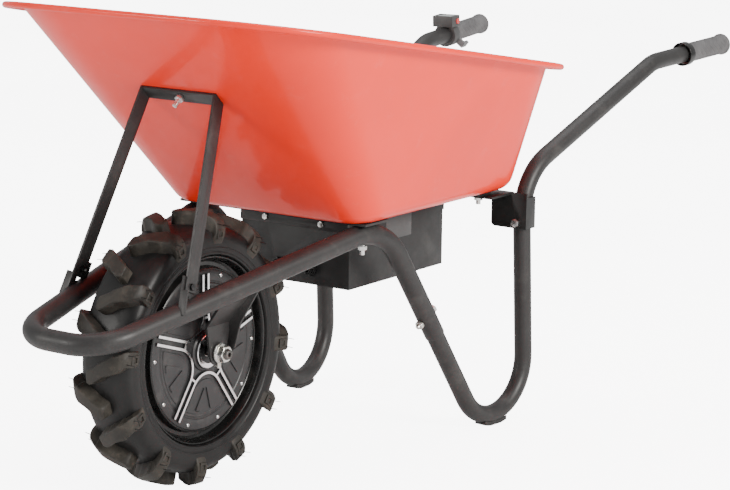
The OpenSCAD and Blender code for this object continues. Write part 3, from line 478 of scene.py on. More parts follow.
def finishes(sizes):
    red = tuple(sizes.tub_colour)
    FINISH["tub"] = tub_paint(red)
    FINISH["frame"] = coat_of("satin_black_frame", (0.022, 0.0212, 0.0212), (0.055, 0.053, 0.052),
                              (0.014, 0.0135, 0.0135), (0.36, 0.48), 1400, 0.05, scratch=0.25,
                              dusty=0.05, specular=0.35)
    FINISH["plate"] = coat_of("black_plate", (0.010, 0.010, 0.010), (0.035, 0.035, 0.035),
                              (0.006, 0.006, 0.006), (0.26, 0.40), 1100, 0.05, scratch=0.3,
                              dusty=0.04, specular=0.35)
    FINISH["box"] = coat_of("matt_black_box", (0.016, 0.016, 0.016), (0.045, 0.045, 0.045),
                            (0.010, 0.010, 0.010), (0.40, 0.55), 1900, 0.07, dusty=0.05,
                            specular=0.4)
    FINISH["hub"] = coat_of("hub_black", (0.015, 0.015, 0.016), (0.05, 0.05, 0.052),
                            (0.009, 0.009, 0.009), (0.28, 0.42), 1300, 0.06, dusty=0.08,
                            specular=0.45)
    FINISH["rim"] = coat_of("rim_black", (0.007, 0.007, 0.007), (0.02, 0.02, 0.02),
                            (0.004, 0.004, 0.004), (0.22, 0.34), 1500, 0.015, dusty=0.05,
                            scratch=0.1, specular=0.4)
    FINISH["plastic"] = coat_of("moulded_plastic", (0.05, 0.05, 0.05), (0.09, 0.09, 0.09),
                                (0.035, 0.035, 0.035), (0.42, 0.55), 1600, 0.06, dusty=0.05)
    FINISH["gloss"] = coat_of("gloss_plastic", (0.008, 0.008, 0.008), (0.03, 0.03, 0.03),
                              (0.005, 0.005, 0.005), (0.16, 0.28), 700, 0.02, dusty=0.04)
    FINISH["paddle"] = coat_of("grey_paddle", (0.13, 0.13, 0.132), (0.22, 0.22, 0.22),
                               (0.09, 0.09, 0.092), (0.35, 0.5), 1500, 0.04, dusty=0.05)
    FINISH["button"] = coat_of("red_button", (0.62, 0.045, 0.04), (0.8, 0.16, 0.13),
                               (0.45, 0.03, 0.03), (0.22, 0.34), 900, 0.03, dusty=0.03, coat=0.4)
    FINISH["label"] = label_film()
    FINISH["zinc"] = metal_of("bright_zinc", (0.78, 0.79, 0.80), (0.66, 0.64, 0.56), (0.22, 0.38))
    FINISH["axle"] = metal_of("dark_steel", (0.10, 0.10, 0.105), (0.16, 0.15, 0.14), (0.3, 0.45),
                              line=(1, 12, 1))
    FINISH["black_bolt"] = metal_of("blackened_bolt", (0.05, 0.05, 0.052), (0.09, 0.085, 0.08),
                                    (0.32, 0.5))
    FINISH["machined"] = metal_of("machined_aluminium", (0.86, 0.86, 0.87), (0.75, 0.75, 0.76),
                                  (0.16, 0.26), line=(1, 1, 1), line_scale=700, stain=0.12)
    FINISH["core"] = metal_of("laminated_core", (0.32, 0.32, 0.33), (0.22, 0.2, 0.18), (0.4, 0.6),
                              line=(1, 40, 1))
    FINISH["copper"] = metal_of("enamelled_copper", (0.62, 0.27, 0.10), (0.45, 0.17, 0.06),
                                (0.25, 0.4), line=(1, 30, 1))
    FINISH["tyre"] = rubber_of("tyre_rubber", (0.0045, 0.0045, 0.0045), (0.012, 0.0118, 0.0115),
                               (0.40, 0.56), dusty=0.07, dust=(0.07, 0.067, 0.062))
    FINISH["tread"] = rubber_of("tread_rubber", (0.017, 0.0152, 0.0128), (0.042, 0.037, 0.030),
                                (0.5, 0.66), dusty=0.4, dust=(0.12, 0.10, 0.08))
    FINISH["grip"] = rubber_of("grip_rubber", (0.075, 0.073, 0.075), (0.12, 0.118, 0.12),
                               (0.5, 0.66), dusty=0.12, dust=(0.24, 0.23, 0.22))
    FINISH["pack"] = coat_of("wrapped_cells", (0.03, 0.10, 0.28), (0.10, 0.2, 0.4),
                             (0.02, 0.07, 0.2), (0.3, 0.4), 400, 0.08)
    FINISH["window"] = window_film()


def tub_paint(red):
    """Glossy powder coat: faint orange peel, softly uneven tone, hairlines and dust."""
    m, tree, bsdf = blank("tub_paint")
    v = where(tree)
    deep = tuple(c * 0.9 for c in red)
    pale = tuple(min(1, c * 1.06 + 0.01) for c in red)
    tone = blend(tree, spread(tree, noise(tree, v, 3.2, 4, 0.55, 0.3), 0.3, 0.7), deep, red)
    tone = blend(tree, spread(tree, noise(tree, v, 1500, 2, 0.5), 0.5, 0.8, 0, 0.35), tone, pale)
    hair = noise(tree, where(tree, (1, 1, 22), (0.9, 0.4, 0.2)), 60, 2, 0.7, 1.5)
    mark = spread(tree, hair, 0.74, 0.79, 0, 0.10)
    tone = blend(tree, mark, tone, (0.95, 0.72, 0.66))
    dust = spread(tree, noise(tree, v, 34, 6, 0.7), 0.55, 0.8, 0, 0.07)
    tone = blend(tree, dust, tone, (0.62, 0.55, 0.5))
    tree.links.new(tone, bsdf.inputs["Base Color"])
    tree.links.new(maths(tree, "ADD", spread(tree, noise(tree, v, 12, 4, 0.6), 0.3, 0.7, 0.34, 0.42),
                         maths(tree, "MULTIPLY", dust, 1.5)), bsdf.inputs["Roughness"])
    bsdf.inputs["Coat Weight"].default_value = 0.35
    bsdf.inputs["Coat Roughness"].default_value = 0.08
    bsdf.inputs["Coat IOR"].default_value = 1.4
    bsdf.inputs["Specular IOR Level"].default_value = 0.25
    bumped(tree, bsdf, [(noise(tree, v, 420, 2, 0.45), 0.12, 0.03), (mark, 0.1, -0.02)])
    return m


def label_film():
    """Blank plate: brushed film with faint stains and no lettering."""
    m, tree, bsdf = blank("blank_plate")
    v = where(tree)
    brush = noise(tree, where(tree, (1, 1, 30)), 160, 3, 0.6)
    tone = blend(tree, spread(tree, brush, 0.3, 0.7), (0.050, 0.050, 0.050), (0.075, 0.075, 0.075))
    tone = blend(tree, spread(tree, noise(tree, v, 60, 5, 0.6), 0.55, 0.8, 0, 0.3), tone,
                 (0.14, 0.137, 0.133))
    tree.links.new(tone, bsdf.inputs["Base Color"])
    tree.links.new(spread(tree, brush, 0.3, 0.7, 0.3, 0.45), bsdf.inputs["Roughness"])
    bsdf.inputs["Metallic"].default_value = 0.3
    bumped(tree, bsdf, [(brush, 0.4, 0.02)])
    return m


def window_film():
    """Pale display window under a clear cover, slightly smeared."""
    m, tree, bsdf = blank("display_window")
    v = where(tree)
    smear = noise(tree, where(tree, (1, 6, 1)), 90, 4, 0.6, 0.8)
    tone = blend(tree, spread(tree, smear, 0.35, 0.7), (0.34, 0.38, 0.36), (0.50, 0.54, 0.52))
    tree.links.new(tone, bsdf.inputs["Base Color"])
    tree.links.new(spread(tree, smear, 0.3, 0.7, 0.08, 0.22), bsdf.inputs["Roughness"])
    bsdf.inputs["Coat Weight"].default_value = 1.0
    bsdf.inputs["Coat Roughness"].default_value = 0.03
    bumped(tree, bsdf, [(smear, 0.1, 0.02)])
    return m


# ---------- settings ----------

class BarrowSizes(PropertyGroup):
    """What a user would change on the barrow's looks."""
    tub_colour: FloatVectorProperty(name="Tub colour", description="Paint of the tub",
                                    subtype="COLOR", size=3, min=0, max=1,
                                    default=(0.93, 0.028, 0.006))
    flange: FloatProperty(name="Rim flange", description="Width of the flange round the tub",
                          default=0.028, min=0.02, max=0.036, unit="LENGTH")
    sheet: FloatProperty(name="Sheet", description="Thickness of the tub's sheet",
                         default=0.002, min=0.001, max=0.003, unit="LENGTH")
    lugs: IntProperty(name="Lugs", description="Tread lugs on each side", default=12, min=10, max=16)
    whisker: FloatProperty(name="Whiskers", description="Length of the moulding whiskers",
                           default=0.013, min=0.0, max=0.02, unit="LENGTH")
    spokes: IntProperty(name="Spokes", description="Double spokes on a hub cover", default=5,
                        min=3, max=7)
    screws: IntProperty(name="Cover screws", description="Screws round a hub cover", default=10,
                        min=5, max=15)
    lamp: FloatProperty(name="Lamp", description="Strength of the studio lamps", default=1.0,
                        min=0.1, max=4.0, subtype="FACTOR")


def sizes():
    return bpy.context.scene.barrow_sizes


# ---------- repeated pieces, by Geometry Nodes ----------

def ring_tree():
    """Copies of a mesh turned round the axle: count, turn between two, start and a little jitter."""
    tree = bpy.data.node_groups.new("ring_round_axle", "GeometryNodeTree")
    add = tree.interface.new_socket
    for name, kind in (("Geometry", "Geometry"), ("Count", "Int"), ("Turn", "Float"),
                       ("Start", "Float"), ("Jitter", "Float"), ("Seed", "Int"),
                       ("Material", "Material")):
        add(name=name, in_out="INPUT", socket_type="NodeSocket" + kind)
    add(name="Geometry", in_out="OUTPUT", socket_type="NodeSocketGeometry")
    new, link = tree.nodes.new, tree.links.new
    inp, out = new("NodeGroupInput"), new("NodeGroupOutput")
    there, back = new("GeometryNodeTransform"), new("GeometryNodeTransform")
    there.inputs["Translation"].default_value = -AXLE
    back.inputs["Translation"].default_value = AXLE
    points, put = new("GeometryNodePoints"), new("GeometryNodeInstanceOnPoints")
    index, chance = new("GeometryNodeInputIndex"), new("FunctionNodeRandomValue")
    chance.data_type = "FLOAT"
    low = new("ShaderNodeMath")
    low.operation = "MULTIPLY"
    low.inputs[1].default_value = -1.0
    steps, total, shaken, turned = (new("ShaderNodeMath") for _ in range(4))
    steps.operation, total.operation, shaken.operation = "MULTIPLY", "ADD", "ADD"
    turned.operation = "MULTIPLY"
    turned.inputs[1].default_value = -1.0
    euler, real, paint = (new("ShaderNodeCombineXYZ"), new("GeometryNodeRealizeInstances"),
                          new("GeometryNodeSetMaterial"))
    link(inp.outputs["Geometry"], there.inputs["Geometry"])
    link(inp.outputs["Count"], points.inputs["Count"])
    link(points.outputs[0], put.inputs["Points"])
    link(there.outputs["Geometry"], put.inputs["Instance"])
    link(index.outputs[0], steps.inputs[0])
    link(inp.outputs["Turn"], steps.inputs[1])
    link(steps.outputs[0], total.inputs[0])
    link(inp.outputs["Start"], total.inputs[1])
    link(inp.outputs["Jitter"], low.inputs[0])
    floats = [s for s in chance.inputs if s.type == "VALUE"]
    link(low.outputs[0], floats[0])
    link(inp.outputs["Jitter"], floats[1])
    link(inp.outputs["Seed"], chance.inputs["Seed"])
    link([s for s in chance.outputs if s.type == "VALUE"][0], shaken.inputs[0])
    link(total.outputs[0], shaken.inputs[1])
    link(shaken.outputs[0], turned.inputs[0])
    link(turned.outputs[0], euler.inputs["Y"])
    link(euler.outputs[0], put.inputs["Rotation"])
    link(put.outputs[0], real.inputs[0])
    link(real.outputs[0], back.inputs["Geometry"])
    link(back.outputs["Geometry"], paint.inputs["Geometry"])
    link(inp.outputs["Material"], paint.inputs["Material"])
    link(paint.outputs[0], out.inputs["Geometry"])
    return tree


def ringed(verts, faces, count, start, material, jitter=0.0, seed=1):
    """A plain mesh of count copies round the axle, the first turned by start radians."""
    obj = linked("one", plain(verts, faces, []))
    tree = bpy.data.node_groups.get("ring_round_axle") or ring_tree()
    mod = obj.modifiers.new("ring", "NODES")
    mod.node_group = tree
    wanted = {"Count": count, "Turn": 2 * math.pi / count, "Start": start, "Jitter": jitter,
              "Seed": seed, "Material": material}
    for item in tree.interface.items_tree:
        if item.item_type == "SOCKET" and item.in_out == "INPUT" and item.name in wanted:
            mod[item.identifier] = wanted[item.name]
    return evaluated(obj)


def joined(name, meshes, body, sharp=35, replaces=()):
    """Several meshes as one piece, each keeping its materials."""
    bm = bmesh.new()
    mats = []
    for mesh in meshes:
        first = len(bm.faces)
        bm.from_mesh(mesh)
        bm.faces.ensure_lookup_table()
        at_slot = []
        for m in mesh.materials:
            if m not in mats:
                mats.append(m)
            at_slot.append(mats.index(m))
        for f in bm.faces[first:]:
            f.material_index = at_slot[min(f.material_index, len(at_slot) - 1)]
    whole = bpy.data.meshes.new(name)
    bm.to_mesh(whole)
    bm.free()
    for m in mats:
        whole.materials.append(m)
    return settle(name, whole, body, sharp, replaces)


# ---------- tub ----------

RIM_X, RIM_L, RIM_Z, RIM_REAR_Z, TUB_W = 158.0, 878.0, 755.0, 610.0, 640.0
TILT = math.atan2(RIM_Z - RIM_REAR_Z, RIM_L)
RIM_RUN = RIM_L / math.cos(TILT)
CORNER = 140.0
FLOOR_Z, FILLET, FLOOR_CORNER = 400.283, 32.0, 33.0
FLOOR_X = (-198.0 - 0.43 * FILLET - FLOOR_CORNER, -198.0 - 471.0 + 0.9 * FILLET + FLOOR_CORNER)
FLOOR_Y = 402 / 2 - 0.72 * FILLET - FLOOR_CORNER
FLOOR_MIDDLE = Vector((-426.0, 0.0, FLOOR_Z))


def rim_place(x, y, z):
    c, s = math.cos(TILT), math.sin(TILT)
    return Vector((RIM_X + x * c - z * s, y, RIM_Z + x * s + z * c))


def tub_stations(flange, arc=18, runs=(10, 18)):
    """Round the tub: the rim corner's middle, the floor corner's middle and the heading."""
    r = CORNER + flange
    tops = [(-r, TUB_W / 2 - r), (-RIM_RUN + r, TUB_W / 2 - r),
            (-RIM_RUN + r, -TUB_W / 2 + r), (-r, -TUB_W / 2 + r)]
    lows = [(FLOOR_X[0], FLOOR_Y), (FLOOR_X[1], FLOOR_Y), (FLOOR_X[1], -FLOOR_Y),
            (FLOOR_X[0], -FLOOR_Y)]
    out = []
    for c in range(4):
        for k in range(arc + 1):
            out.append((Vector(tops[c]), Vector(lows[c]), math.radians(90 * (c + k / arc))))
        nxt = (c + 1) % 4
        runs_here = runs[1] if c % 2 == 0 else runs[0]
        for k in range(1, runs_here):
            t = k / runs_here
            out.append((Vector(tops[c]).lerp(Vector(tops[nxt]), t),
                        Vector(lows[c]).lerp(Vector(lows[nxt]), t), math.radians(90 * (c + 1))))
    return out


def tub_shell(flange, sheet):
    """Outer skin of the tub from the middle of the floor out to the flange, and the bead's line."""
    columns, bead = [], []
    for top, low, a in tub_stations(flange):
        n = Vector((math.cos(a), math.sin(a), 0))
        along = Vector((-math.sin(a), math.cos(a), 0))
        centre = Vector((low.x, low.y, FLOOR_Z + FILLET)) + n * FLOOR_CORNER
        local = top + CORNER * Vector((math.cos(a), math.sin(a)))
        t = rim_place(local.x, local.y, -sheet)
        out = (rim_place(local.x + math.cos(a), local.y + math.sin(a), -sheet) - t)
        d = t - centre
        h, v, slip = d.dot(n), d.z, d.dot(along)
        alpha = math.atan2(v, h) - math.acos(FILLET / math.hypot(h, v))
        col = []
        foot = Vector((centre.x, centre.y, FLOOR_Z))
        for k in range(1, 6):
            col.append(FLOOR_MIDDLE.lerp(foot, k / 6))
        for k in range(9):
            g = -math.pi / 2 + (alpha + math.pi / 2) * k / 8
            col.append(centre + FILLET * (n * math.cos(g) + Vector((0, 0, math.sin(g)))))
        wall = col[-1]
        up = (t - wall).normalized()
        for k in range(1, 13):
            col.append(wall.lerp(t - up * 9, k / 12))
        last = col[-1]
        for k in range(1, 7):
            f = k / 6
            col.append((1 - f) ** 2 * last + 2 * f * (1 - f) * t + f * f * (t + out * 9))
        col.append(t + out * (flange - 5))
        columns.append(col)
        bead.append(rim_place(local.x + (flange - 5) * math.cos(a),
                              local.y + (flange - 5) * math.sin(a), -5.0))
    return columns, bead


class BARROW_OT_tub(Operator):
    """Pressed steel tub with its flange, rolled edge and gloss paint"""
    bl_idname = "barrow.tub"
    bl_label = "Tub"

    def execute(self, context):
        flange, sheet = sizes().flange / MM, sizes().sheet / MM
        columns, bead = tub_shell(flange, sheet)
        n, m = len(columns), len(columns[0])
        verts = [place(p) for col in columns for p in col]
        verts.append(place(FLOOR_MIDDLE))
        faces = []
        for i in range(n):
            j = (i + 1) % n
            faces.append((n * m, j * m, i * m))
            for k in range(m - 1):
                faces.append((i * m + k, j * m + k, j * m + k + 1, i * m + k + 1))
        skin = plain(verts, faces, [FINISH["tub"]], merge=1e-6)
        flip_out(skin, place(Vector((-300, 0, 2000))))
        shell = applied(skin, ("SOLIDIFY", {"thickness": sheet * MM, "offset": -1.0,
                                            "use_even_offset": True}))
        lv, lf = swept(bead, 5.0, 20, closed=True)
        joined("tub_shell", [shell, plain(lv, lf, [FINISH["tub"]])], "chassis", 60, ["tub"])
        return {"FINISHED"}


def flip_out(mesh, above):
    """Turns an open skin so that its floor looks down and away from a point above it."""
    bm = bmesh.new()
    bm.from_mesh(mesh)
    bm.faces.ensure_lookup_table()
    total = sum((f.calc_center_median() - above).dot(f.normal) * f.calc_area() for f in bm.faces)
    if total < 0:
        bmesh.ops.reverse_faces(bm, faces=bm.faces)
    bm.to_mesh(mesh)
    bm.free()


# ---------- frame ----------

def leg_at(d):
    return side(APEX + d * LEG_DIR)


class BARROW_OT_tubes(Operator):
    """Bent frame tube and the two handle tubes, with smooth bends and rounded ends"""
    bl_idname = "barrow.tubes"
    bl_label = "Tubes"

    def execute(self, context):
        line = bent([leg_at(246), side(APEX), LOOP, flip(LOOP), flip(side(APEX)),
                     flip(leg_at(246))], [0, 100, 70, 70, 100, 0])
        v, f = swept(line, FRAME_R, 48, wall=1.5)
        piece("frame_loop", v, f, [FINISH["frame"]], "chassis", replaces=["front_frame_tube"])
        for name, turn in (("left", lambda p: p), ("right", flip)):
            line = bent([turn(p) for p in (leg_at(166), side(FOOT_V), side(KNEE), side(WRIST),
                                           grip_at(6))], [0, FOOT_R, 105, 95, 0])
            v, f = swept(line, HANDLE_R, 48)
            piece(name + "_handle", v, f, [FINISH["frame"]], "chassis",
                  replaces=[name + "_handle_tube"])
        return {"FINISHED"}


class BARROW_OT_plates(Operator):
    """Fork plates, brace, brackets, cross angles and foot skids with broken edges"""
    bl_idname = "barrow.plates"
    bl_label = "Plates and brackets"

    def execute(self, context):
        for node in ("left_fork_plate", "right_fork_plate", "front_brace", "left_brace_bracket",
                     "right_brace_bracket", "front_cross_angle", "rear_cross_angle"):
            dressed(node, FINISH["frame"], edge=0.6)
        for node in ("left_clamp_bracket", "right_clamp_bracket"):
            dressed(node, FINISH["plate"], edge=0.9)
        for node in ("left_foot_skid", "right_foot_skid"):
            dressed(node, FINISH["frame"], edge=0.5)
        return {"FINISHED"}


class BARROW_OT_fasteners(Operator):
    """Bolts, nuts and washers of the frame, tub and box"""
    bl_idname = "barrow.fasteners"
    bl_label = "Bolts and nuts"

    def execute(self, context):
        for node in ("splice_bolts", "splice_nuts", "tub_front_bolt", "tub_front_nut",
                     "clamp_bolts", "clamp_nuts", "tub_bolts", "tub_nuts", "box_bolts",
                     "box_nuts", "axle_washers", "tab_washers", "throttle_screw"):
            dressed(node, FINISH["zinc"], edge=0.45)
        for node in ("brace_bolts", "brace_nuts"):
            dressed(node, FINISH["black_bolt"], edge=0.4)
        return {"FINISHED"}


class BARROW_OT_power_box(Operator):
    """Box under the tub, its lid, blank plate, glands, socket and what it holds"""
    bl_idname = "barrow.power_box"
    bl_label = "Power box"

    def execute(self, context):
        for node in ("power_box", "power_box_lid"):
            dressed(node, FINISH["box"], edge=0.7)
        dressed("rating_label", FINISH["label"], edge=0.1)
        for node in ("cable_glands", "charge_socket"):
            dressed(node, FINISH["gloss"], edge=0.4)
        dressed("battery_pack", FINISH["pack"], edge=3.0)
        dressed("motor_controller", FINISH["machined"], edge=0.5)
        return {"FINISHED"}


# ---------- wheel ----------

CARCASS = [(148.9, 33), (148.9, 38), (149, 41), (149.4, 44.5), (151, 47.2),
           (153.4, 47.8), (155.2, 46.9), (157, 47.2), (160.4, 48.2), (161, 48.9), (162.4, 49),
           (163, 48.6), (168, 49.6), (173, 50), (178, 49.6), (183.5, 47.6), (188.6, 43.6),
           (192.4, 37.5), (195, 29), (196.4, 18), (197, 6)]


def tyre_section():
    outer = CARCASS + [(r, -y) for r, y in reversed(CARCASS)]
    inner = [(148.9, -31), (153, -36), (166, -41), (178, -37), (185, -22), (186, 0),
             (185, 22), (178, 37), (166, 41), (153, 36), (148.9, 31)]
    return outer + inner


TREAD_R = 205.0     # radius at which a lug's widths are measured
LUG_TURN = math.radians(-1.7)
LUG_TOP = [(-13, 217.6), (-6, 218), (4, 218), (14, 217.8), (24, 216.9), (33, 215), (41, 211.8),
           (47.5, 207.3), (52, 201), (54.3, 193.5), (54.6, 184), (52.6, 174)]
LUG_BASE = [(-13, 195), (-6, 196), (4, 196), (14, 195.5), (24, 194), (32, 191.5), (38.5, 187.5),
            (43, 183), (46, 178.5), (47.6, 174), (48.2, 169.5), (48.4, 165.5)]
LUG_MID = [-1, 1, 5, 10, 15.5, 20.5, 24.5, 27.5, 29.5, 30.5, 31, 31]
LUG_HALF = [8.5, 10.5, 11.5, 11.5, 11.5, 12, 12.5, 12.5, 12, 11.5, 11, 10.5]


def sampled(values, t):
    """Smooth value of a list at t from 0 to 1."""
    x = t * (len(values) - 1)
    i = min(int(x), len(values) - 2)
    f = x - i
    a = values[max(i - 1, 0)]
    b, c = values[i], values[i + 1]
    d = values[min(i + 2, len(values) - 1)]

    def one(a, b, c, d):
        return b + 0.5 * f * (c - a + f * (2 * a - 5 * b + 4 * c - d + f * (3 * (b - c) + d - a)))
    if isinstance(b, tuple):
        return tuple(one(*v) for v in zip(a, b, c, d))
    return one(a, b, c, d)


def lug(sign, steps=30):
    """One tread lug: a curved bar with a scalloped trailing edge that runs down the shoulder."""
    verts = []
    shape = ((-0.10, 3.2), (0.10, 2.4), (0.55, 1.4), (0.93, 0.3), (1.0, -1.4))
    count = len(shape) * 2 + 1
    for k in range(steps + 1):
        t = k / steps
        ty, tr = sampled(LUG_TOP, t)
        by, br = sampled(LUG_BASE, t)
        mid, half = sampled(LUG_MID, t), sampled(LUG_HALF, t)
        end = min(1.0, min(t, 1 - t) * steps / 1.6)
        half *= 0.86 + 0.14 * math.sin(end * math.pi / 2)
        lift = 0.9 + 0.1 * math.sin(end * math.pi / 2)
        lead = half + (2.2 if 0.22 < t < 0.5 else 0.0) + (1.4 if t > 0.66 else 0.0)
        trail = half - 4.2 * abs(2 * ((2.6 * t + 0.2) % 1.0) - 1.0) + 1.6
        row = [(f, mid + lead + w) for f, w in shape]
        row.append((1.0, mid))
        row += [(f, mid - trail - w) for f, w in reversed(shape)]
        for f, s in row:
            g = f * lift if f > 0 else f
            y, r = by + (ty - by) * g, br + (tr - br) * g
            verts.append(polar(r, s / TREAD_R, sign * y))
    return verts, bands(steps + 1, count) + caps(steps + 1, count)


def pocket(sign):
    """A small raised frame with a sunk middle on the outer end of a lug."""
    verts = []
    r0, mid = 183.0, 30.5
    rings = ((8.2, 7.6, -1.0), (8.2, 7.6, 1.0), (7.4, 6.8, 1.6), (4.4, 4.0, 1.6), (4.0, 3.6, -0.6))
    for a, b, out in rings:
        for du, dr in ((-a, -b), (a, -b), (a, b), (-a, b)):
            verts.append(polar(r0 + dr, (mid + du) / TREAD_R, sign * (54.2 + out)))
    return verts, bands(len(rings), 4) + caps(len(rings), 4)


def hair(sign, s, r, length):
    """One moulding whisker that stands out sideways and droops a little."""
    verts = []
    for k in range(5):
        t = k / 4
        for j in range(5):
            a = 2 * math.pi * j / 5
            w = 0.75 - 0.25 * t
            verts.append(polar(r + w * math.cos(a) - 1.6 * t * t, (s + w * math.sin(a)) / TREAD_R,
                               sign * (51.5 + (length + 2) * t)))
    return verts, bands(5, 5) + caps(5, 5)


class BARROW_OT_tyre(Operator):
    """Traction tyre: ringed sidewalls, scalloped lugs, end pockets and moulding whiskers"""
    bl_idname = "barrow.tyre"
    bl_label = "Tyre"

    def execute(self, context):
        rubber = FINISH["tyre"]
        v, f, _ = lathe(tyre_section(), 160)
        parts = [plain(v, f, [rubber])]
        count = sizes().lugs
        pitch = 2 * math.pi / count
        for sign, start in ((1, LUG_TURN), (-1, LUG_TURN + pitch / 2)):
            for shape in (lug(sign), pocket(sign)):
                parts.append(ringed(*shape, count, start, FINISH["tread"]))
            for i, (s, r) in enumerate(((38.0, 197.0), (24.0, 199.0))):
                parts.append(ringed(*hair(sign, s, r, sizes().whisker / MM), count, start, rubber,
                                    jitter=0.004, seed=3 + i))
        joined("tyre_body", parts, "wheel", 38, ["tyre"])
        return {"FINISHED"}


def rib(line, width, y0, y1, sign, mats, closed=False):
    """A raised line on a hub cover with a machined top: line is points (x, z) in millimetres."""
    n = len(line)
    verts = []
    section = ((-0.5, 0.0, 1.4), (-0.5, 0.86, 0.3), (-0.5, 1.0, -0.25), (0.5, 1.0, -0.25),
               (0.5, 0.86, 0.3), (0.5, 0.0, 1.4))
    m = len(section)
    for i, p in enumerate(line):
        a = line[i - 1] if (i or closed) else p
        b = line[(i + 1) % n] if (i < n - 1 or closed) else p
        t = (b - a).normalized()
        across = Vector((-t.y, t.x))
        for f, up, grow in section:
            q = p + across * (f * width + math.copysign(grow, f) * 0.5)
            verts.append(wheel_at(q.x, sign * (y0 + (y1 - y0) * up), q.y))
    faces = bands(n, m, closed)
    index = [1 if f % m == 2 else 0 for f in range(len(faces))]
    if not closed:
        faces += caps(n, m)
        index += [0, 0]
    return plain(verts, faces, mats, index)


def arch_line(mid, offset, fillet, reach, half):
    """Edge of two neighbouring spokes and the arch between them near the hub."""
    corner = offset / math.sin(half)
    centre = corner + fillet / math.sin(half)
    run = fillet / math.tan(half)
    pts = []
    side_dir = Vector((math.cos(half), math.sin(half)))
    start = Vector((corner, 0.0))
    far = math.sqrt(reach ** 2 - offset ** 2) - corner * math.cos(half)
    for k in range(9):
        pts.append(start + side_dir * (far + (run - far) * k / 8))
    for k in range(1, 17):
        a = (math.pi / 2 + half) + (math.pi - 2 * half) * k / 16
        pts.append(Vector((centre, 0)) + fillet * Vector((math.cos(a), math.sin(a))))
    low_dir = Vector((math.cos(half), -math.sin(half)))
    for k in range(1, 9):
        pts.append(start + low_dir * (run + (far - run) * k / 8))
    c, s = math.cos(mid), math.sin(mid)
    return [Vector((p.x * c - p.y * s, p.x * s + p.y * c)) for p in pts]


def slab(line, y0, y1, sign, mats, chamfer=1.2):
    """A flat raised field bounded by a closed outline."""
    n = len(line)
    mid = sum(line, Vector((0, 0))) / n
    verts = []
    for up, inset in ((0.0, 0.0), (1.0, chamfer)):
        for p in line:
            q = p + (mid - p).normalized() * inset
            verts.append(wheel_at(q.x, sign * (y0 + (y1 - y0) * up), q.y))
    return plain(verts, bands(2, n) + caps(2, n), mats)


COVER = [(9, 34.2), (9, 47), (10.2, 48.2), (18.6, 48.4), (19.4, 49.8), (26.4, 49.8), (27.4, 48.6),
         (28, 44.5), (29.4, 43.2), (31.2, 42.4), (31.8, 40.6), (32.4, 39.6), (104.5, 39.6),
         (106, 38.4), (108, 38.2), (109.4, 39.4), (112, 39.8), (123.6, 39.6), (125.4, 38.6),
         (125.9, 36.5), (125.9, 34.2)]
SILVER_RING = (4, 5)


def hub_cover(sign, count):
    black, bright = FINISH["hub"], FINISH["machined"]
    v, f, strip = lathe([(r, sign * y) for r, y in COVER], 144)
    parts = [plain(v, f, [black, bright], [1 if s in SILVER_RING else 0 for s in strip])]
    half = math.pi / count
    for i in range(count):
        spoke = math.radians(18) + i * 2 * half
        mid = spoke + half
        parts.append(rib(arch_line(mid, 6.2, 36.5, 121.0, half), 3.8, 39.2, 43.6, sign,
                         [black, bright]))
        out = Vector((math.cos(spoke), math.sin(spoke)))
        across = Vector((-out.y, out.x))
        parts.append(rib([out * 52 - across * 7, out * 52 + across * 7], 3.0, 39.2, 43.3, sign,
                         [black, bright]))
        inner = arch_line(mid, 13.5, 32.0, 101.0, half)
        a0 = math.atan2(inner[-1].y, inner[-1].x)
        a1 = math.atan2(inner[0].y, inner[0].x)
        while a1 < a0:
            a1 += 2 * math.pi
        arc = [101.0 * Vector((math.cos(a0 + (a1 - a0) * k / 12), math.sin(a0 + (a1 - a0) * k / 12)))
               for k in range(1, 12)]
        parts.append(slab(inner + arc, 39.2, 40.7, sign, [black]))
        m = Vector((math.cos(mid), math.sin(mid)))
        q = Vector((-m.y, m.x))
        for shift in (-1, 1):
            wedge = [m * 58 + q * shift * 2, m * 93 + q * shift * 25, m * 97 + q * shift * 12]
            parts.append(slab(rounded(wedge, 2.5), 40.5, 42.4, sign, [black], 1.2))
    return parts


RIM_SIDE = [(97.1, 33), (124.8, 33), (126, 34), (126.2, 39), (127.4, 39.8), (128.8, 38.8),
            (129.6, 30), (131.4, 26.6), (137, 26.4), (140.6, 28.6), (142.4, 33), (143.6, 40),
            (145.4, 43.4), (147, 44.2), (148.3, 43.2), (148.6, 40), (148.6, 31), (147, 27),
            (140, 22.4), (131.4, 16), (125, 10)]
RIM_RING = RIM_SIDE + [(r, -y) for r, y in reversed(RIM_SIDE)]


def hexed(a):
    """How far out a hexagon's side lies at an angle, for a hexagon with corners at 1."""
    return math.cos(math.pi / 6) / math.cos((a % (math.pi / 3)) - math.pi / 6)


def button_screw(sign, r, y):
    """A round-headed socket screw, drawn at the front of the ring."""
    verts, seg = [], 18
    rows = [(3.1, -0.6), (3.25, 0.4), (3.0, 1.3), (2.2, 1.9), (1.55, 1.95), (1.5, 0.7)]
    for i, (rad, up) in enumerate(rows):
        for k in range(seg):
            a = 2 * math.pi * k / seg
            wide = rad * hexed(a) if i > 3 else rad
            verts.append(wheel_at(r + wide * math.cos(a), sign * (y + up), wide * math.sin(a)))
    return verts, bands(len(rows), seg) + caps(len(rows), seg)


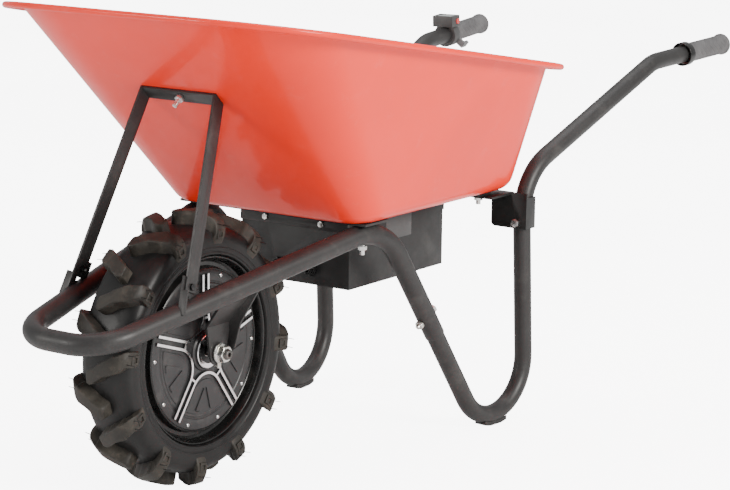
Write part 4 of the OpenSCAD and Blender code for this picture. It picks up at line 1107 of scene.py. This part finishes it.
class BARROW_OT_hub(Operator):
    """Hub motor: rim, covers with machined spokes, cover screws and what turns inside"""
    bl_idname = "barrow.hub"
    bl_label = "Hub and rim"

    def execute(self, context):
        v, f, _ = lathe(RIM_RING, 160)
        piece("rim_ring", v, f, [FINISH["rim"]], "wheel", replaces=["wheel_rim"], sharp=30)
        for name, sign in (("left", 1), ("right", -1)):
            joined(name + "_cover", hub_cover(sign, sizes().spokes), "wheel", 30,
                   [name + "_hub_cover"])
        screws = [ringed(*button_screw(sign, 119.0, 39.3), sizes().screws, math.radians(2),
                         FINISH["zinc"]) for sign in (1, -1)]
        joined("ring_of_screws", screws, "wheel", 30, ["cover_screws"])
        for node, key in (("magnet_ring", "core"), ("motor_stator", "core"),
                          ("stator_windings", "copper"), ("hub_bearings", "zinc")):
            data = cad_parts[node].data
            data.materials.clear()
            data.materials.append(FINISH[key])
        return {"FINISHED"}


def hex_nut(sign, y, height, corner, bore):
    """A flanged hexagon nut on the axle with turned corners."""
    seg = 48
    flat = corner * math.cos(math.pi / 6)
    hexagon = [corner * hexed(2 * math.pi * k / seg) for k in range(seg)]
    rows = [[(15.2, 0.0)] * seg, [(15.4, 0.8)] * seg, [(14.4, 2.2)] * seg,
            [(r, 2.6) for r in hexagon],
            [(r, height - 0.3 - (r - flat) * 0.62) for r in hexagon],
            [(flat - 0.3, height)] * seg, [(bore + 1.0, height)] * seg,
            [(bore + 0.05, height - 0.9)] * seg, [(bore + 0.05, 0.0)] * seg]
    verts = [polar(r, 2 * math.pi * k / seg, sign * (y + up))
             for row in rows for k, (r, up) in enumerate(row)]
    return verts, bands(len(rows), seg, True)


class BARROW_OT_axle(Operator):
    """Axle with threaded ends and its flanged nuts"""
    bl_idname = "barrow.axle"
    bl_label = "Axle"

    def execute(self, context):
        profile = []
        for sign in (-1, 1):
            end = []
            y = 66.0
            while y < 88.0:
                end += [(8.0, y), (7.95, y + 0.35), (7.35, y + 0.75), (7.35, y + 1.0)]
                y += 1.5
            end += [(7.9, 88.4), (7.2, 89.6), (6.6, 90.0), (3.6, 90.0), (3.3, 89.4), (3.3, 84.0)]
            profile += [(r, sign * yy) for r, yy in (reversed(end) if sign < 0 else end)]
        v, f, _ = lathe([(0.001, -84.0)] + profile + [(0.001, 84.0)], 40, closed=False)
        piece("axle_shaft", v, f, [FINISH["axle"]], "chassis", replaces=["axle"], sharp=50,
              merge=1e-6)
        nuts = [plain(*hex_nut(sign, 73.0, 12.0, 13.8, 8.0), [FINISH["zinc"]]) for sign in (-1, 1)]
        joined("axle_nut_pair", nuts, "chassis", 32, ["axle_nuts"])
        return {"FINISHED"}


# ---------- handles ----------

def turned(line_at, profile, segments, cut, material):
    """A profile of (distance, radius) round a straight line, cut(d, angle, r) taken off it."""
    verts = []
    o, e = line_at(0), line_at(1)
    t = (e - o).normalized()
    x = (Vector((0, 0, 1)) - t.z * t).normalized()
    y = t.cross(x)
    n = len(profile)
    for k in range(segments):
        a = 2 * math.pi * k / segments
        for d, r in profile:
            out = (r - cut(d, a, r)) * (x * math.cos(a) + y * math.sin(a))
            verts.append(place(o + t * d + out))
    faces = bands(segments, n, True, False)
    faces.append(tuple(k * n for k in range(segments)))
    faces.append(tuple(k * n + n - 1 for k in range(segments)))
    return plain(verts, faces, [material])


def grip_groove(d, a, r):
    """Diagonal grooves in six fields, turned opposite ways."""
    if d < 14 or d > 112 or r < 16:
        return 0.0
    field = (a / (math.pi / 3)) % 1.0
    sign = 1 if int(a / (math.pi / 3)) % 2 else -1
    u = (d / 13.0 + sign * (field - 0.5) * 1.5) % 1.0
    line = max(0.0, 1 - abs(u - 0.5) / 0.16)
    edge = max(0.0, 1 - min(field, 1 - field) / 0.07)
    fade = min(1.0, (d - 14) / 4, (112 - d) / 4)
    return fade * max(0.85 * line * (1 - edge), 0.35 * edge)


class BARROW_OT_handles(Operator):
    """Grips, hand stop and thumb throttle with its display, button and paddle"""
    bl_idname = "barrow.handles"
    bl_label = "Grips and throttle"

    def execute(self, context):
        profile = [(0.0, 1.5), (0.0, 17.5), (0.7, 19.4), (2.0, 20.0), (5.0, 20.0), (6.4, 19.5),
                   (7.6, 18.3), (9.0, 17.8)]
        profile += [(10 + 0.9 * k, 17.8) for k in range(122)]
        profile += [(120.6, 17.6), (121.6, 17.0), (122.0, 15.4)]
        for name, where_at in (("left", grip_at), ("right", lambda d: flip(grip_at(d)))):
            mesh = turned(where_at, profile, 132, grip_groove, FINISH["grip"])
            settle(name + "_grip_rubber", mesh, "chassis", 40, [name + "_grip"])
        dressed("left_hand_stop", FINISH["gloss"], edge=0.8)
        dressed("throttle_housing", FINISH["plastic"], edge=1.8)
        dressed("display_window", FINISH["window"], edge=0.3)
        dressed("power_button", FINISH["button"], body="button", edge=0.8)
        dressed("throttle_paddle", FINISH["paddle"], body="paddle", edge=0.9)
        return {"FINISHED"}


# ---------- stage ----------

# Camera: place in metres, heading, tilt and roll in degrees, lens in millimetres.
CAMERA = (3.3070, 2.3215, 1.1186)
YAW, PITCH, ROLL = 215.0293, -11.4151, 0.6860
LENS = 118.57


def lamp(name, place_at, look, size, power, colour=(1, 1, 1)):
    """A soft rectangular lamp aimed at a point, in metres."""
    data = bpy.data.lights.new(name, "AREA")
    data.shape = "RECTANGLE"
    data.size, data.size_y = size
    data.energy = power
    data.color = colour
    obj = linked(name, data)
    obj.location = place_at
    obj.rotation_euler = (Vector(look) - Vector(place_at)).to_track_quat("-Z", "Y").to_euler()


class BARROW_OT_stage(Operator):
    """Pale floor, soft lamps and the camera"""
    bl_idname = "barrow.stage"
    bl_label = "Stage"

    def execute(self, context):
        m, tree, bsdf = blank("pale_floor")
        v = where(tree)
        tone = blend(tree, spread(tree, noise(tree, v, 0.8, 3, 0.5), 0.3, 0.7),
                     (0.93, 0.93, 0.93), (0.96, 0.96, 0.96))
        tree.links.new(tone, bsdf.inputs["Base Color"])
        bsdf.inputs["Roughness"].default_value = 0.55
        bumped(tree, bsdf, [(noise(tree, v, 60, 3, 0.5), 0.05, 0.2)])
        tree.links.new(tone, bsdf.inputs["Emission Color"])
        seen = tree.nodes.new("ShaderNodeLightPath").outputs["Is Camera Ray"]
        tree.links.new(maths(tree, "MULTIPLY", seen, 7.5 * sizes().lamp),
                       bsdf.inputs["Emission Strength"])
        cells, half = 24, 30
        row = [-half + 2 * half * i / cells for i in range(cells + 1)]
        verts = [(x, y, 0) for y in row for x in row]
        faces = bands(cells + 1, cells + 1, round_ring=False)
        floor = linked("studio_floor", plain(verts, faces, [m]))

        world = bpy.data.worlds.new("studio")
        world.use_nodes = True
        back = world.node_tree.nodes["Background"]
        back.inputs["Color"].default_value = (1, 1, 1, 1)
        back.inputs["Strength"].default_value = 0.68 * sizes().lamp
        bpy.context.scene.world = world
        p = sizes().lamp
        lamp("key", (0.6, 4.6, 2.4), (-0.1, 0.0, 0.45), (2.0, 1.2), 320 * p, (1, 0.97, 0.93))
        lamp("front", (4.4, -2.6, 1.8), (0.4, 0.0, 0.5), (1.2, 1.2), 90 * p, (1, 0.97, 0.93))
        lamp("top", (-0.6, 0.0, 4.2), (-0.2, 0.0, 0.0), (4.0, 3.0), 120 * p)

        data = bpy.data.cameras.new("camera")
        data.sensor_width = 36.0
        data.sensor_fit = "HORIZONTAL"
        data.lens = LENS
        data.clip_end = 200
        obj = linked("camera", data)
        y, t = math.radians(YAW), math.radians(PITCH)
        d = Vector((math.cos(t) * math.cos(y), math.cos(t) * math.sin(y), math.sin(t)))
        r = d.cross(Vector((0, 0, 1))).normalized()
        u = r.cross(d)
        k = math.radians(ROLL)
        right = math.cos(k) * r + math.sin(k) * u
        up = -math.sin(k) * r + math.cos(k) * u
        basis = Matrix((right, up, -d)).transposed().to_4x4()
        basis.translation = Vector(CAMERA)
        obj.matrix_world = basis
        bpy.context.scene.camera = obj
        return {"FINISHED"}


# ---------- panel and run ----------

STEPS = ("tub", "tubes", "plates", "fasteners", "power_box", "tyre", "hub", "axle", "handles",
         "stage")


class BARROW_PT_panel(Panel):
    """Builds the barrow's pieces one by one"""
    bl_idname = "BARROW_PT_panel"
    bl_label = "Power Wheelbarrow"
    bl_space_type = "VIEW_3D"
    bl_region_type = "UI"
    bl_category = "Wheelbarrow"

    def draw(self, context):
        box = self.layout.box()
        for key in BarrowSizes.__annotations__:
            box.prop(context.scene.barrow_sizes, key)
        for step in STEPS:
            self.layout.operator("barrow." + step)


CLASSES = (BarrowSizes, BARROW_OT_tub, BARROW_OT_tubes, BARROW_OT_plates, BARROW_OT_fasteners,
           BARROW_OT_power_box, BARROW_OT_tyre, BARROW_OT_hub, BARROW_OT_axle, BARROW_OT_handles,
           BARROW_OT_stage, BARROW_PT_panel)


def register():
    for c in CLASSES:
        bpy.utils.register_class(c)
    bpy.types.Scene.barrow_sizes = PointerProperty(type=BarrowSizes)


def unregister():
    del bpy.types.Scene.barrow_sizes
    for c in reversed(CLASSES):
        bpy.utils.unregister_class(c)


def main():
    register()
    finishes(sizes())
    for step in STEPS:
        getattr(bpy.ops.barrow, step)()


if __name__ == "__main__":
    main()
